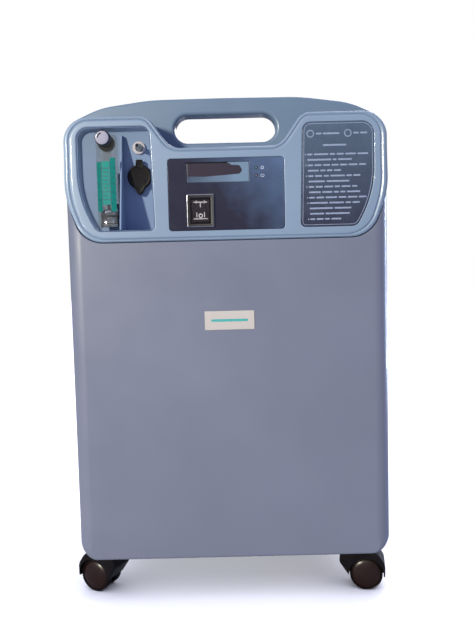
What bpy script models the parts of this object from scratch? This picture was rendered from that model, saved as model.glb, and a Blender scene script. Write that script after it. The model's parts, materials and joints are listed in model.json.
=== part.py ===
"""Floor-standing home oxygen concentrator on four twin-wheel casters.

Metres, +Z up, front towards -Y, origin on the floor under the middle of the object.
"""
import math

import bmesh
import bpy
from mathutils import Matrix, Vector

# Driving dimensions: the casing
HALF_WIDTH = 0.1875
FLOOR_GAP = 0.053            # underside of the casing above the floor
FACE_Y = -0.178              # front of the control fascia
COVER_STEP = 0.005           # the lower cover sits this far behind the fascia
SEAM_Y = -0.133              # where the front mouldings meet the rear cover
REAR_Y = 0.179               # outside of the back wall
REAR_RIM = 0.016             # rounding around the back wall
WALL = 0.003
GAP = 0.0003                 # clearance between touching pieces
HANDLE_DEPTH = 0.026
BODY_TOP = 0.545             # top of the casing behind the handle
HANDLE_TOP = 0.605
FASCIA_LOW = 0.4363          # lower edge of the fascia
TOWER_TOP = 0.576
VALLEY_Z = 0.539             # top of the fascia between its two towers
TUB_FLOOR_Y = -0.1355        # inner face of the recess floor
TUB_WALL = 0.0016

# Driving dimensions: the casters
CASTER_X = (-0.152, 0.142)   # front stems, left and right; the rear ones are turned half round
CASTER_Y = 0.140
WHEEL_R = 0.020
CASTER_TRAIL = 0.021
HOOD_HALF = 0.0180
WHEEL_INNER, WHEEL_OUTER = 0.0048, 0.0172
CASTER_TURN = (155.0, -10.0)  # swivel at rest of the front left and front right casters, degrees

# Driving dimensions: the control panel, in the fascia's plane
PANEL = (-0.067, 0.067, 0.4437, 0.5262)
LCD = (-0.0455, 0.0266, 0.4985, 0.5215)
SWITCH = (-0.0461, -0.0147, 0.4476, 0.4852)
PANEL_Y = FACE_Y + 0.0008
FLOW_X = -0.1415
KNOB_Z = 0.5528
PORT_X = -0.1045
OUTLET_Z, CAP_Z = 0.547, 0.512

ARC_STEP = math.radians(15)


# ---------------------------------------------------------------- scene helpers

def collection(name):
    made = bpy.data.collections.new(name)
    bpy.context.scene.collection.children.link(made)
    return made


def clear_scene():
    for obj in list(bpy.data.objects):
        bpy.data.objects.remove(obj, do_unlink=True)


clear_scene()
PARTS = collection("oxygen_concentrator")
CUTTERS = collection("cutters")


def material(name, rgb, rough=0.5, metal=0.0, alpha=1.0):
    found = bpy.data.materials.get(name)
    if found:
        return found
    made = bpy.data.materials.new(name)
    made.use_nodes = True
    shader = made.node_tree.nodes["Principled BSDF"]
    shader.inputs["Base Color"].default_value = (*rgb, 1.0)
    shader.inputs["Roughness"].default_value = rough
    shader.inputs["Metallic"].default_value = metal
    shader.inputs["Alpha"].default_value = alpha
    return made


BLUE_GREY = ("cover_blue_grey", (0.21, 0.22, 0.30), 0.45)
BLUE = ("fascia_blue", (0.22, 0.30, 0.42), 0.4)
DARK_GLOSS = ("panel_dark", (0.03, 0.035, 0.06), 0.15)
BLACK = ("black_plastic", (0.012, 0.010, 0.010), 0.4)
RUBBER = ("black_rubber", (0.015, 0.013, 0.013), 0.8)
WHITE = ("white_plastic", (0.75, 0.74, 0.74), 0.35)
CLEAR = ("clear_acrylic", (0.75, 0.85, 0.85), 0.05, 0.0, 0.35)
NICKEL = ("nickel", (0.62, 0.60, 0.56), 0.2, 1.0)
ALUMINIUM = ("cast_aluminium", (0.55, 0.56, 0.57), 0.45, 1.0)
STEEL = ("steel", (0.40, 0.41, 0.42), 0.4, 1.0)
COPPER = ("copper", (0.70, 0.35, 0.20), 0.35, 1.0)
FOAM = ("foam", (0.05, 0.05, 0.055), 0.95)
GREEN_BOARD = ("circuit_board", (0.02, 0.16, 0.07), 0.5)
LCD_GREY = ("lcd_grey", (0.10, 0.13, 0.19), 0.2)
LED_GREEN = ("led_green", (0.05, 0.45, 0.10), 0.25)
LED_RED = ("led_red", (0.45, 0.04, 0.03), 0.25)


def adopt(obj, look=None):
    """Put an object among the parts with its own material, or among the cutters without one."""
    for owner in list(obj.users_collection):
        owner.objects.unlink(obj)
    if look is None:
        CUTTERS.objects.link(obj)
        obj.hide_render = True
        obj.display_type = "WIRE"
        return obj
    PARTS.objects.link(obj)
    obj.data.materials.clear()
    obj.data.materials.append(material(f"{obj.name}_{look[0]}", *look[1:]))
    obj.data.shade_smooth()
    obj.data.set_sharp_from_angle(angle=math.radians(35))
    return obj


def new_object(name, mesh, look=None):
    obj = bpy.data.objects.new(name, mesh)
    CUTTERS.objects.link(obj)
    return adopt(obj, look)


def bake(obj):
    """Replace an object's mesh by its evaluated one, so that copies can share it."""
    graph = bpy.context.evaluated_depsgraph_get()
    mesh = bpy.data.meshes.new_from_object(obj.evaluated_get(graph))
    obj.modifiers.clear()
    obj.data = mesh
    return obj


# ---------------------------------------------------------------- outline helpers

def fillet_outline(corners):
    """Points of a closed polygon whose corners (x, z, radius) are rounded."""
    points = []
    count = len(corners)
    for i, (x, z, radius) in enumerate(corners):
        here = Vector((x, z))
        back = (Vector(corners[i - 1][:2]) - here).normalized()
        ahead = (Vector(corners[(i + 1) % count][:2]) - here).normalized()
        turn = math.pi - back.angle(ahead)
        if radius < 1e-5 or turn < 1e-3:
            points.append(here)
            continue
        tangent = radius * math.tan(turn / 2)
        centre = here + (back + ahead).normalized() * (radius / math.cos(turn / 2))
        start = here + back * tangent - centre
        side = 1 if back.x * ahead.y - back.y * ahead.x < 0 else -1
        steps = max(2, math.ceil(turn / ARC_STEP))
        for k in range(steps + 1):
            angle = side * turn * k / steps
            points.append(centre + Matrix.Rotation(angle, 2) @ start)
    return points


def inset(corners, distance):
    """The same rounded outline moved inwards (anticlockwise corners) by a distance."""
    moved = []
    count = len(corners)
    for i, (x, z, radius) in enumerate(corners):
        here = Vector((x, z))
        into = (here - Vector(corners[i - 1][:2])).normalized()
        out = (Vector(corners[(i + 1) % count][:2]) - here).normalized()
        normal_in = Vector((-into.y, into.x))
        normal_out = Vector((-out.y, out.x))
        shift = (normal_in + normal_out) * (distance / (1 + normal_in.dot(normal_out)))
        convex = into.x * out.y - into.y * out.x > 0
        kept = max(radius - distance if convex else radius + distance, 0.0) if radius else 0.0
        moved.append((x + shift.x, z + shift.y, kept))
    return moved


def mirrored(right_half, apex=()):
    """Close an outline from its right half, listed anticlockwise from the bottom, and any apex."""
    return right_half + list(apex) + [(-x, z, r) for x, z, r in reversed(right_half)]


def flipped(corners):
    """The mirror image of an outline, still anticlockwise."""
    return [(-x, z, r) for x, z, r in reversed(corners)]


def rectangle(x0, x1, z0, z1, radius=0.0):
    return [(x0, z0, radius), (x1, z0, radius), (x1, z1, radius), (x0, z1, radius)]


def circle(x, z, radius, sides=24):
    turn = 2 * math.pi / sides
    return [(x + radius * math.cos(k * turn), z + radius * math.sin(k * turn), 0) for k in range(sides)]


# ---------------------------------------------------------------- solid helpers

def plate(name, loops, y_front, y_back, look=None, tidy=True):
    """A flat outline in the XZ plane, with any holes, given a thickness along Y."""
    curve = bpy.data.curves.new(name, "CURVE")
    curve.dimensions = "2D"
    curve.fill_mode = "BOTH"
    curve.extrude = (y_back - y_front) / 2
    for corners in loops:
        points = fillet_outline(corners)
        spline = curve.splines.new("POLY")
        spline.points.add(len(points) - 1)
        for slot, point in zip(spline.points, points):
            slot.co = (point.x, point.y, 0, 1)
        spline.use_cyclic_u = True
    source = bpy.data.objects.new(name + "_outline", curve)
    CUTTERS.objects.link(source)
    graph = bpy.context.evaluated_depsgraph_get()
    mesh = bpy.data.meshes.new_from_object(source.evaluated_get(graph))
    bpy.data.objects.remove(source)
    stand = Matrix.Translation((0, (y_front + y_back) / 2, 0)) @ Matrix.Rotation(math.pi / 2, 4, "X")
    shape = bmesh.new()
    shape.from_mesh(mesh)
    shape.transform(stand)
    bmesh.ops.remove_doubles(shape, verts=shape.verts, dist=1e-5)
    if tidy:
        bmesh.ops.dissolve_limit(shape, angle_limit=0.01, verts=shape.verts, edges=shape.edges)
    bmesh.ops.recalc_face_normals(shape, faces=shape.faces)
    shape.to_mesh(mesh)
    shape.free()
    return new_object(name, mesh, look)


def box(name, x0, x1, y0, y1, z0, z1, look=None, round_edges=0.0, segments=2):
    shape = bmesh.new()
    bmesh.ops.create_cube(shape, size=1)
    shape.transform(Matrix.Diagonal((x1 - x0, y1 - y0, z1 - z0, 1)))
    mesh = bpy.data.meshes.new(name)
    shape.to_mesh(mesh)
    shape.free()
    obj = new_object(name, mesh, look)
    obj.location = ((x0 + x1) / 2, (y0 + y1) / 2, (z0 + z1) / 2)
    if round_edges:
        bevel(obj, round_edges, segments)
    return obj


AXES = {"+Z": Matrix.Identity(3),
        "+X": Matrix.Rotation(math.pi / 2, 3, "Y"),
        "-Y": Matrix.Rotation(math.pi / 2, 3, "X"),
        "+Y": Matrix.Rotation(-math.pi / 2, 3, "X")}


def turned(name, profile, centre, look=None, axis="+Z", steps=24):
    """Turn a profile of (radius, height), listed from the top down its outside, about an axis."""
    mesh = bpy.data.meshes.new(name)
    count = len(profile)
    edges = [(i, i + 1) for i in range(count - 1)]
    if profile[0][0] > 0:
        edges.append((count - 1, 0))
    mesh.from_pydata([(r, 0, h) for r, h in profile], edges, [])
    obj = new_object(name, mesh, look)
    screw = obj.modifiers.new("turn", "SCREW")
    screw.steps = steps
    screw.render_steps = steps
    screw.use_merge_vertices = True
    screw.merge_threshold = 0.00002
    screw.use_normal_calculate = False
    obj.location = centre
    obj.rotation_euler = AXES[axis].to_euler()
    return obj


def rod(name, radius, length, centre, look=None, axis="+Z", steps=24):
    """A plain cylinder whose middle is at centre."""
    half = length / 2
    return turned(name, [(0, half), (radius, half), (radius, -half), (0, -half)], centre, look, axis, steps)


def bevel(obj, width, segments=2, angle=40):
    rounding = obj.modifiers.new("round", "BEVEL")
    rounding.width = width
    rounding.segments = segments
    rounding.limit_method = "ANGLE"
    rounding.angle_limit = math.radians(angle)
    rounding.harden_normals = False
    return obj


def boolean(obj, other, operation="DIFFERENCE", solver="EXACT"):
    change = obj.modifiers.new(operation.lower(), "BOOLEAN")
    change.operation = operation
    change.solver = solver
    change.object = other
    return obj


def cut(obj, *others, solver="EXACT"):
    for other in others:
        boolean(obj, other, solver=solver)
    return obj


def round_rim(obj, width, segments=3, side=-1):
    """Round only the edges around a plate's front face (side -1) or back face (side 1)."""
    weights = obj.data.attributes.new("bevel_weight_edge", "FLOAT", "EDGE")
    reach = [side * vertex.co.y for vertex in obj.data.vertices]
    for edge in obj.data.edges:
        on_rim = min(reach[i] for i in edge.vertices) > max(reach) - 1e-5
        weights.data[edge.index].value = 1.0 if on_rim else 0.0
    rounding = obj.modifiers.new("rim_round", "BEVEL")
    rounding.width = width
    rounding.segments = segments
    rounding.limit_method = "WEIGHT"
    return obj


# ---------------------------------------------------------------- outlines seen from the front

ARCH = mirrored([(HALF_WIDTH, FLOOR_GAP, 0.024), (HALF_WIDTH, 0.549, 0.055), (0.1710, 0.5890, 0.030),
                 (0.1150, HANDLE_TOP - 0.002, 0.150)], [(0.0, HANDLE_TOP + 0.0002, 0.8)])
BODY = rectangle(-HALF_WIDTH, HALF_WIDTH, FLOOR_GAP, BODY_TOP, 0.024)
FASCIA = mirrored([(0.1660, FASCIA_LOW, 0.030), (0.1836, 0.4706, 0.0), (HALF_WIDTH, 0.4706, 0.0),
                   (HALF_WIDTH, TOWER_TOP, 0.038), (0.0885, TOWER_TOP, 0.018), (0.0625, VALLEY_Z, 0.022)])
LOWER = mirrored([(HALF_WIDTH, FLOOR_GAP, 0.024), (HALF_WIDTH, 0.4700, 0.0),
                  (0.1836, 0.4700, 0.0), (0.1660, FASCIA_LOW - 0.0006, 0.030)])
RIGHT_POCKET = [(0.0850, 0.4450, 0.006), (0.1555, 0.4450, 0.012), (0.1715, 0.4850, 0.060),
                (0.1705, 0.5640, 0.014), (0.0885, 0.5640, 0.010)]
LEFT_POCKET = flipped(RIGHT_POCKET)
SLOT = rectangle(-0.0615, 0.0615, 0.552, 0.585, 0.0164)


# ---------------------------------------------------------------- casing

def pan_opening(name, y0, y1):
    return box(name, -0.162, 0.162, y0, y1, 0.040, 0.0585)


def make_front_cover():
    face = FACE_Y + COVER_STEP
    cover = plate("front_cover", [LOWER], face, SEAM_Y - GAP, BLUE_GREY)
    round_rim(cover, 0.008)
    hollow = rectangle(-HALF_WIDTH + WALL, HALF_WIDTH - WALL, FLOOR_GAP + WALL, FASCIA_LOW - 0.005, 0.021)
    cut(cover, plate("front_cover_hollow", [hollow], face + WALL, SEAM_Y + 0.01),
        pan_opening("front_pan_opening", face + WALL, SEAM_Y + 0.01), solver="MANIFOLD")
    return cover


def make_fascia():
    fascia = plate("control_fascia", [FASCIA], FACE_Y, SEAM_Y - GAP, BLUE)
    round_rim(fascia, 0.005)
    cut(fascia, plate("fascia_hollow", [inset(FASCIA, WALL)], FACE_Y + WALL, SEAM_Y + 0.01),
        plate("fascia_windows", [LEFT_POCKET, rectangle(*PANEL, 0.004)], FACE_Y - 0.01, FACE_Y + 0.01),
        plate("label_pocket", [RIGHT_POCKET], FACE_Y - 0.01, FACE_Y + 0.0015), solver="MANIFOLD")
    return fascia


def make_rear_cover():
    handle_back = SEAM_Y + HANDLE_DEPTH
    cover = plate("rear_cover", [BODY], SEAM_Y, REAR_Y, BLUE)
    round_rim(cover, REAR_RIM, side=1)
    handle = plate("handle_arch", [ARCH], SEAM_Y, handle_back)
    bevel(handle, 0.006, 2, 60)
    boolean(cover, handle, "UNION", "MANIFOLD")
    handle_hollow = plate("handle_hollow", [inset(ARCH, WALL)], SEAM_Y + WALL, handle_back - WALL)
    cut(handle_hollow, plate("slot_wall", [inset(SLOT, -WALL)], SEAM_Y, handle_back),
        box("handle_hollow_limit", -0.3, 0.3, SEAM_Y, handle_back, 0.0, 0.500), solver="MANIFOLD")
    front_mouth = rectangle(-HALF_WIDTH + WALL, HALF_WIDTH - WALL, FLOOR_GAP + WALL, 0.530, 0.021)
    fixtures = [rectangle(-0.064, 0.064, 0.366, 0.464), rectangle(-0.062, 0.062, 0.102, 0.158),
                rectangle(0.1015, 0.1285, 0.1015, 0.1205), circle(0.115, 0.150, 0.0065, 12)]
    main_hollow = plate("rear_cover_hollow", [inset(BODY, WALL)], SEAM_Y + 0.010, REAR_Y - WALL)
    round_rim(main_hollow, REAR_RIM - WALL, side=1)
    cut(cover, handle_hollow, main_hollow,
        plate("rear_cover_mouth", [front_mouth], SEAM_Y - 0.01, SEAM_Y + 0.012),
        plate("hand_slot", [SLOT], SEAM_Y - 0.01, handle_back + 0.01),
        pan_opening("rear_pan_opening", SEAM_Y - 0.01, REAR_Y - WALL),
        plate("rear_fixture_holes", fixtures, REAR_Y - 0.02, REAR_Y + 0.02), solver="MANIFOLD")
    return cover


def make_base_pan():
    pan = box("base_pan", -0.1617, 0.1617, FACE_Y + COVER_STEP + WALL + GAP, REAR_Y - WALL - GAP,
              FLOOR_GAP, FLOOR_GAP + 0.005, BLACK)
    for label, (x, y, _) in caster_places().items():
        cut(pan, rod(f"stem_hole_{label}", 0.0056, 0.02, (x, y, FLOOR_GAP), steps=16))
    return pan


def make_tub():
    """The recess for the flowmeter and outlets, with a wedge-shaped wall between its two bays."""
    rim = inset(LEFT_POCKET, GAP)
    tub = plate("recess_tub", [rim], FACE_Y + 0.0006, TUB_FLOOR_Y + 0.002, BLUE)
    cut(tub, plate("tub_hollow", [inset(rim, TUB_WALL)], FACE_Y - 0.01, TUB_FLOOR_Y))
    wedge = plate("tub_divider", [[(TUB_FLOOR_Y + 0.001, 0.4465, 0), (TUB_FLOOR_Y + 0.001, 0.5605, 0),
                                   (TUB_FLOOR_Y - 0.004, 0.5605, 0), (FACE_Y + 0.010, 0.4465, 0)]],
                  -0.0012, 0.0012)
    wedge.rotation_euler.z = math.pi / 2
    wedge.location.x = -0.1215
    boolean(tub, wedge, "UNION")
    cut(tub, rod("outlet_hole", 0.0050, 0.02, (PORT_X, TUB_FLOOR_Y, OUTLET_Z), axis="-Y", steps=16),
        rod("port_hole", 0.0062, 0.02, (PORT_X, TUB_FLOOR_Y, CAP_Z), axis="-Y", steps=16))
    return tub


# ---------------------------------------------------------------- control panel

def make_panel():
    hole = [(-0.0441, 0.4496), (-0.0167, 0.4832)]
    loops = [rectangle(*(v + s * GAP for v, s in zip(PANEL, (1, -1, 1, -1))), 0.004),
             rectangle(*LCD, 0.001),
             rectangle(hole[0][0], hole[1][0], hole[0][1], hole[1][1], 0.001),
             circle(0.035, 0.5140, 0.0018, 12), circle(0.035, 0.5050, 0.0018, 12)]
    plate("control_panel", loops, PANEL_Y, PANEL_Y + 0.0025, DARK_GLOSS, tidy=False)
    inner = [v + s * GAP for v, s in zip(LCD, (1, -1, 1, -1))]
    screen = box("lcd_module", inner[0], inner[1], PANEL_Y + 0.0008, PANEL_Y + 0.010, inner[2], inner[3],
                 LCD_GREY)
    screen.location.y = PANEL_Y + 0.0054
    for name, z, look in (("led_power", 0.5140, LED_GREEN), ("led_alarm", 0.5050, LED_RED)):
        turned(name, [(0, 0.0007), (0.0009, 0.0005), (0.0014, 0), (0.0014, -0.006), (0, -0.006)],
               (0.035, PANEL_Y, z), look, "-Y", 12)
    plate("label_plate", [inset(RIGHT_POCKET, GAP)], FACE_Y + 0.0002, FACE_Y + 0.0012, DARK_GLOSS)
    cover_face = FACE_Y + COVER_STEP
    plate("name_plate", [rectangle(-0.029, 0.029, 0.328, 0.350, 0.0008)], cover_face - GAP - 0.0006,
          cover_face - GAP, WHITE)


def make_switch():
    x0, x1, z0, z1 = SWITCH
    middle = Vector(((x0 + x1) / 2, PANEL_Y, (z0 + z1) / 2))
    frame = box("switch_frame", x0, x1, PANEL_Y - 0.0025, PANEL_Y - GAP, z0, z1, STEEL)
    barrel = box("switch_barrel", x0 + 0.0024, x1 - 0.0024, PANEL_Y - 0.001, PANEL_Y + 0.020,
                 z0 + 0.0024, z1 - 0.0024)
    boolean(frame, barrel, "UNION")
    cut(frame, box("switch_well", x0 + 0.0038, x1 - 0.0038, PANEL_Y - 0.01, PANEL_Y + 0.016,
                   z0 + 0.0038, z1 - 0.0038))
    half_width, half_height, face = 0.0108, 0.0138, -0.0012
    tilt = math.radians(8)
    rise = half_height * math.tan(tilt)
    rocker = plate("power_rocker", [[(face - rise, half_height - 0.0006, 0.0), (face, 0.0, 0.0),
                                     (face - rise, 0.0006 - half_height, 0.0), (0.0060, -0.010, 0.0),
                                     (0.0060, 0.010, 0.0)]], -half_width, half_width, BLACK)
    rocker.data.transform(Matrix.Rotation(math.pi / 2, 4, "Z"))
    rocker.rotation_euler.x = tilt
    rocker.location = middle + Vector((0, 0.003, 0))
    cover = box("switch_dust_cover", x0 + 0.0004, x1 - 0.0004, -REAR_Y - 0.0033, PANEL_Y - 0.0028,
                z0 + 0.0004, z1 - 0.0004, CLEAR)
    cut(cover, box("dust_cover_hollow", x0 + 0.0014, x1 - 0.0014, -REAR_Y - 0.0025, PANEL_Y,
                   z0 + 0.0014, z1 - 0.0014))


# ---------------------------------------------------------------- flowmeter and outlets

def make_flowmeter():
    front, back = -0.1555, TUB_FLOOR_Y - GAP
    middle_y = (front + back) / 2
    low, high = 0.4520, 0.5600
    body = box("flowmeter_body", FLOW_X - 0.0125, FLOW_X + 0.0125, front, back, low, high, CLEAR, 0.0012, 1)
    cut(body, turned("flow_bore", [(0, 0.5420), (0.0050, 0.5420), (0.0040, 0.4750), (0, 0.4750)],
                     (FLOW_X, middle_y, 0), steps=16),
        rod("plug_bore", 0.0084, 0.040, (FLOW_X, middle_y, 0.4570)),
        rod("valve_bore", 0.0034, 0.020, (FLOW_X, front, KNOB_Z), axis="-Y", steps=16), solver="MANIFOLD")
    turned("flow_plug", [(0, 0.4755), (0.0055, 0.4740), (0.0080, 0.4700), (0.0080, 0.4665), (0.0066, 0.4650),
                         (0.0066, 0.4620), (0.0080, 0.4605), (0.0080, low), (0, low)],
           (FLOW_X, middle_y, 0), NICKEL, steps=16)
    turned("flow_float", [(0, 0.0100), (0.0030, 0.0090), (0.0030, 0.0070), (0.0016, 0.0040), (0, 0)],
           (FLOW_X, middle_y, 0.4760), RUBBER, steps=16)
    knob = [(0, 0.0190), (0.0080, 0.0190), (0.0090, 0.0165), (0.0090, 0.0050), (0.0080, 0.0004),
            (0.0030, 0.0004), (0.0030, -0.0080), (0, -0.0080)]
    turned("flow_knob", knob, (FLOW_X, front, KNOB_Z), BLACK, "-Y", 20)


def make_outlets():
    floor = TUB_FLOOR_Y - GAP
    turned("outlet_ring", [(0.0046, 0.0020), (0.0078, 0.0015), (0.0078, 0), (0.0046, 0)],
           (PORT_X, floor, OUTLET_Z), WHITE, "-Y", 20)
    barb = [(0.0016, 0.0170), (0.0022, 0.0170), (0.0030, 0.0120), (0.0024, 0.0120), (0.0030, 0.0070),
            (0.0042, 0.0040), (0.0042, -0.0018), (0.0016, -0.0018)]
    turned("outlet_nipple", barb, (PORT_X, floor, OUTLET_Z), NICKEL, "-Y", 14)
    socket = [(0.0046, 0.0012), (0.0090, 0.0012), (0.0090, 0), (0.0058, 0), (0.0058, -0.0100),
              (0.0046, -0.0100)]
    turned("nebulizer_port", socket, (PORT_X, floor, CAP_Z), WHITE, "-Y", 16)
    make_port_cap(floor - 0.0016)


def make_port_cap(back):
    """A rubber cap hinged at its neck, with a pointed tab for the finger at its lower end."""
    neck_z = CAP_Z + 0.0205
    disc = circle(0, 0, 0.0149, 28)
    neck = rectangle(-0.0050, 0.0050, -0.0010, 0.0205, 0.002)
    tab = [(-0.0105, -0.0108, 0.0), (-0.0028, -0.0212, 0.0026), (0.0028, -0.0212, 0.0026),
           (0.0105, -0.0108, 0.0), (0.0, 0.0, 0.0)]
    shape = plate("port_cap", [disc], -0.0040, 0, RUBBER)
    for extra in (plate("cap_neck", [neck], -0.0036, -0.0002), plate("cap_tab", [tab], -0.0037, -0.0002),
                  rod("cap_spigot", 0.0036, 0.0040, (0, 0.0010, 0), axis="-Y", steps=12)):
        boolean(shape, extra, "UNION", "MANIFOLD")
    bake(shape)
    shape.data.transform(Matrix.Translation((0, 0, CAP_Z - neck_z)))
    shape.location = (PORT_X, back, neck_z)


# ---------------------------------------------------------------- casters

def caster_places():
    """Stem x, stem y and swivel angle of each caster; the rear pair is the front pair turned round."""
    left, right = CASTER_X
    turn_left, turn_right = CASTER_TURN
    return {"fl": (left, -CASTER_Y, turn_left), "fr": (right, -CASTER_Y, turn_right),
            "rl": (-right, CASTER_Y, turn_right + 180), "rr": (-left, CASTER_Y, turn_left + 180)}


def caster_meshes():
    """Hood, axle and wheel for a stem on the Z axis and an axle along Y at x = CASTER_TRAIL."""
    trail = CASTER_TRAIL
    top = FLOOR_GAP - GAP
    side = [(-0.0120, 0.0330, 0.004), (0.0020, 0.0150, 0.004), (trail, 0.0140, 0.0), (0.0455, 0.0150, 0.002),
            (0.0455, 0.0390, 0.020), (0.0300, 0.0475, 0.008), (0.0120, top, 0.003), (-0.0120, top, 0.002)]
    hood = plate("hood_pattern", [side], -HOOD_HALF, HOOD_HALF)
    boolean(hood, rod("hood_stem", 0.0050, 0.0088, (0, 0, top), steps=12), "UNION")
    for sign in (-1, 1):
        cut(hood, rod(f"wheel_well_{sign}", WHEEL_R + 0.0012, 0.020, (trail, sign * 0.0142, WHEEL_R),
                      axis="-Y", steps=20))
    cut(hood, rod("axle_hole", 0.0026, 0.030, (trail, 0, WHEEL_R), axis="-Y", steps=12))
    bake(hood)
    axle = bake(rod("axle_pattern", 0.0022, 0.026, (0, 0, 0), axis="-Y", steps=10))
    width = WHEEL_OUTER - WHEEL_INNER
    tyre = [(0, width - 0.0020), (0.0130, width - 0.0012), (0.0165, width), (WHEEL_R, width - 0.0020),
            (WHEEL_R, 0), (0.0026, 0), (0.0026, 0.0088), (0, 0.0088)]
    wheel = bake(turned("wheel_pattern", tyre, (0, 0, 0), axis="-Y", steps=20))
    return hood.data, axle.data, wheel.data


def make_casters():
    hood, axle, wheel = caster_meshes()
    for label, (x, y, turn) in caster_places().items():
        stem = bpy.data.objects.new(f"caster_{label}_stem_axis", None)
        PARTS.objects.link(stem)
        stem.location = (x, y, 0)
        stem.rotation_euler.z = math.radians(turn)
        pieces = [(f"caster_{label}_hood", hood, 0, 0, 0, False, BLACK),
                  (f"caster_{label}_axle", axle, CASTER_TRAIL, 0, WHEEL_R, True, STEEL),
                  (f"caster_{label}_wheel_a", wheel, CASTER_TRAIL, -WHEEL_INNER, WHEEL_R, True, BLACK),
                  (f"caster_{label}_wheel_b", wheel, CASTER_TRAIL, WHEEL_INNER, WHEEL_R, True, BLACK)]
        for name, mesh, px, py, pz, lay, look in pieces:
            obj = new_object(name, mesh.copy(), look)
            obj.parent = stem
            obj.location = (px, py, pz)
            if lay:
                obj.rotation_euler.x = -math.pi / 2 if name.endswith("_b") else math.pi / 2


# ---------------------------------------------------------------- back of the machine

def make_rear_fixtures():
    outside = REAR_Y + GAP
    louvres = [rectangle(-0.055, 0.055, 0.377 + 0.0125 * k, 0.383 + 0.0125 * k) for k in range(7)]
    door = plate("filter_door", [rectangle(-0.070, 0.070, 0.360, 0.470, 0.005)] + louvres, outside,
                 outside + 0.0030, BLUE, tidy=False)
    door.data.transform(Matrix.Translation((0.070, -outside, -0.415)))
    door.location = (-0.070, outside, 0.415)
    box("filter_foam", -0.0632, 0.0632, REAR_Y - 0.012, REAR_Y, 0.3668, 0.4632, FOAM)
    slats = [rectangle(-0.057 + 0.0125 * k, -0.050 + 0.0125 * k, 0.108, 0.152) for k in range(9)]
    plate("exhaust_grille", [rectangle(-0.068, 0.068, 0.096, 0.164, 0.004)] + slats, outside,
          outside + 0.0022, BLACK, tidy=False)
    inlet = plate("power_inlet", [rectangle(0.0915, 0.1385, 0.0975, 0.1245, 0.004)], outside,
                  outside + 0.0022, BLACK)
    boolean(inlet, box("inlet_shell", 0.1018, 0.1282, REAR_Y - 0.022, outside + 0.001, 0.1018, 0.1202),
            "UNION")
    cut(inlet, box("inlet_socket", 0.1035, 0.1265, REAR_Y - 0.014, REAR_Y + 0.02, 0.1030, 0.1190))
    turned("breaker_button",
           [(0, 0.0035), (0.0045, 0.0035), (0.0050, 0.0028), (0.0050, -0.0150), (0, -0.0150)],
           (0.115, REAR_Y - GAP, 0.150), BLACK, "+Y", 16)


# ---------------------------------------------------------------- inside

def make_compressor():
    base = FLOOR_GAP + 0.005 + GAP
    z0, z1 = 0.0950, 0.1950
    middle = (z0 + z1) / 2
    for label, sx, sy in (("fl", -1, -1), ("fr", 1, -1), ("rl", -1, 1), ("rr", 1, 1)):
        top = z0 - GAP
        waist = (base + top) / 2
        turned(f"compressor_mount_{label}",
               [(0, top), (0.011, top), (0.008, waist), (0.011, base), (0, base)],
               (sx * 0.036, 0.010 + sy * 0.036, 0), RUBBER, steps=16)
    box("compressor_crankcase", -0.050, 0.050, -0.042, 0.062, z0, z1, ALUMINIUM, 0.006, 2)
    for name, sign, axis in (("compressor_head_l", -1, "-X"), ("compressor_head_r", 1, "+X")):
        fins = [(0, 0.050)]
        for k in range(3):
            height = 0.050 - 0.014 * k
            fins += [(0.034, height), (0.034, height - 0.006), (0.028, height - 0.006),
                     (0.028, height - 0.014)]
        fins = fins[:-1] + [(0.028, GAP), (0, GAP)]
        head = turned(name, fins, (sign * 0.050, 0.010, middle), ALUMINIUM, "+X", 16)
        if sign < 0:
            head.rotation_euler = Matrix.Rotation(-math.pi / 2, 3, "Y").to_euler()
    turned("compressor_motor", [(0, 0.070), (0.014, 0.070), (0.040, 0.062), (0.045, 0.056), (0.045, GAP),
                                (0, GAP)], (0, 0.062, middle), STEEL, "+Y", 20)


def make_cooling():
    coil = bpy.data.curves.new("cooling_coil", "CURVE")
    coil.dimensions = "3D"
    coil.bevel_depth = 0.004
    coil.bevel_resolution = 1
    coil.use_fill_caps = True
    turns, per_turn, radius, pitch = 3, 12, 0.052, 0.0125
    spline = coil.splines.new("POLY")
    count = turns * per_turn + 1
    spline.points.add(count - 1)
    for k, point in enumerate(spline.points):
        angle = 2 * math.pi * k / per_turn
        point.co = (radius * math.cos(angle), radius * math.sin(angle), pitch * k / per_turn, 1)
    source = bpy.data.objects.new("cooling_coil_path", coil)
    CUTTERS.objects.link(source)
    graph = bpy.context.evaluated_depsgraph_get()
    mesh = bpy.data.meshes.new_from_object(source.evaluated_get(graph))
    bpy.data.objects.remove(source)
    shape = bmesh.new()
    shape.from_mesh(mesh)
    bmesh.ops.remove_doubles(shape, verts=shape.verts, dist=1e-5)
    bmesh.ops.recalc_face_normals(shape, faces=shape.faces)
    shape.to_mesh(mesh)
    shape.free()
    new_object("cooling_coil", mesh, COPPER).location = (0, 0.010, 0.1993)
    make_fan(Vector((0, 0.010, 0.2538)))


def make_fan(centre):
    half = 0.060
    frame = plate("fan_frame", [rectangle(-half, half, -half, half, 0.006), circle(0, 0, 0.056, 32)],
                  -0.0125, 0.0125, BLACK)
    boolean(frame, box("fan_bar", -0.058, 0.058, 0.0096, 0.0122, -0.009, 0.009), "UNION")
    bake(frame)
    frame.data.transform(Matrix.Rotation(-math.pi / 2, 4, "X"))
    frame.location = centre
    rotor = rod("fan_rotor", 0.019, 0.018, centre, BLACK, steps=16)
    blades = bmesh.new()
    for k in range(5):
        bmesh.ops.create_cube(blades, size=1, matrix=Matrix.Rotation(2 * math.pi * k / 5, 4, "Z")
                              @ Matrix.Translation((0.033, 0, 0)) @ Matrix.Rotation(math.radians(28), 4, "X")
                              @ Matrix.Diagonal((0.036, 0.026, 0.0018, 1)))
    mesh = bpy.data.meshes.new("fan_blades")
    blades.to_mesh(mesh)
    blades.free()
    ring = new_object("fan_blades", mesh)
    ring.location = centre
    boolean(rotor, ring, "UNION")


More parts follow.
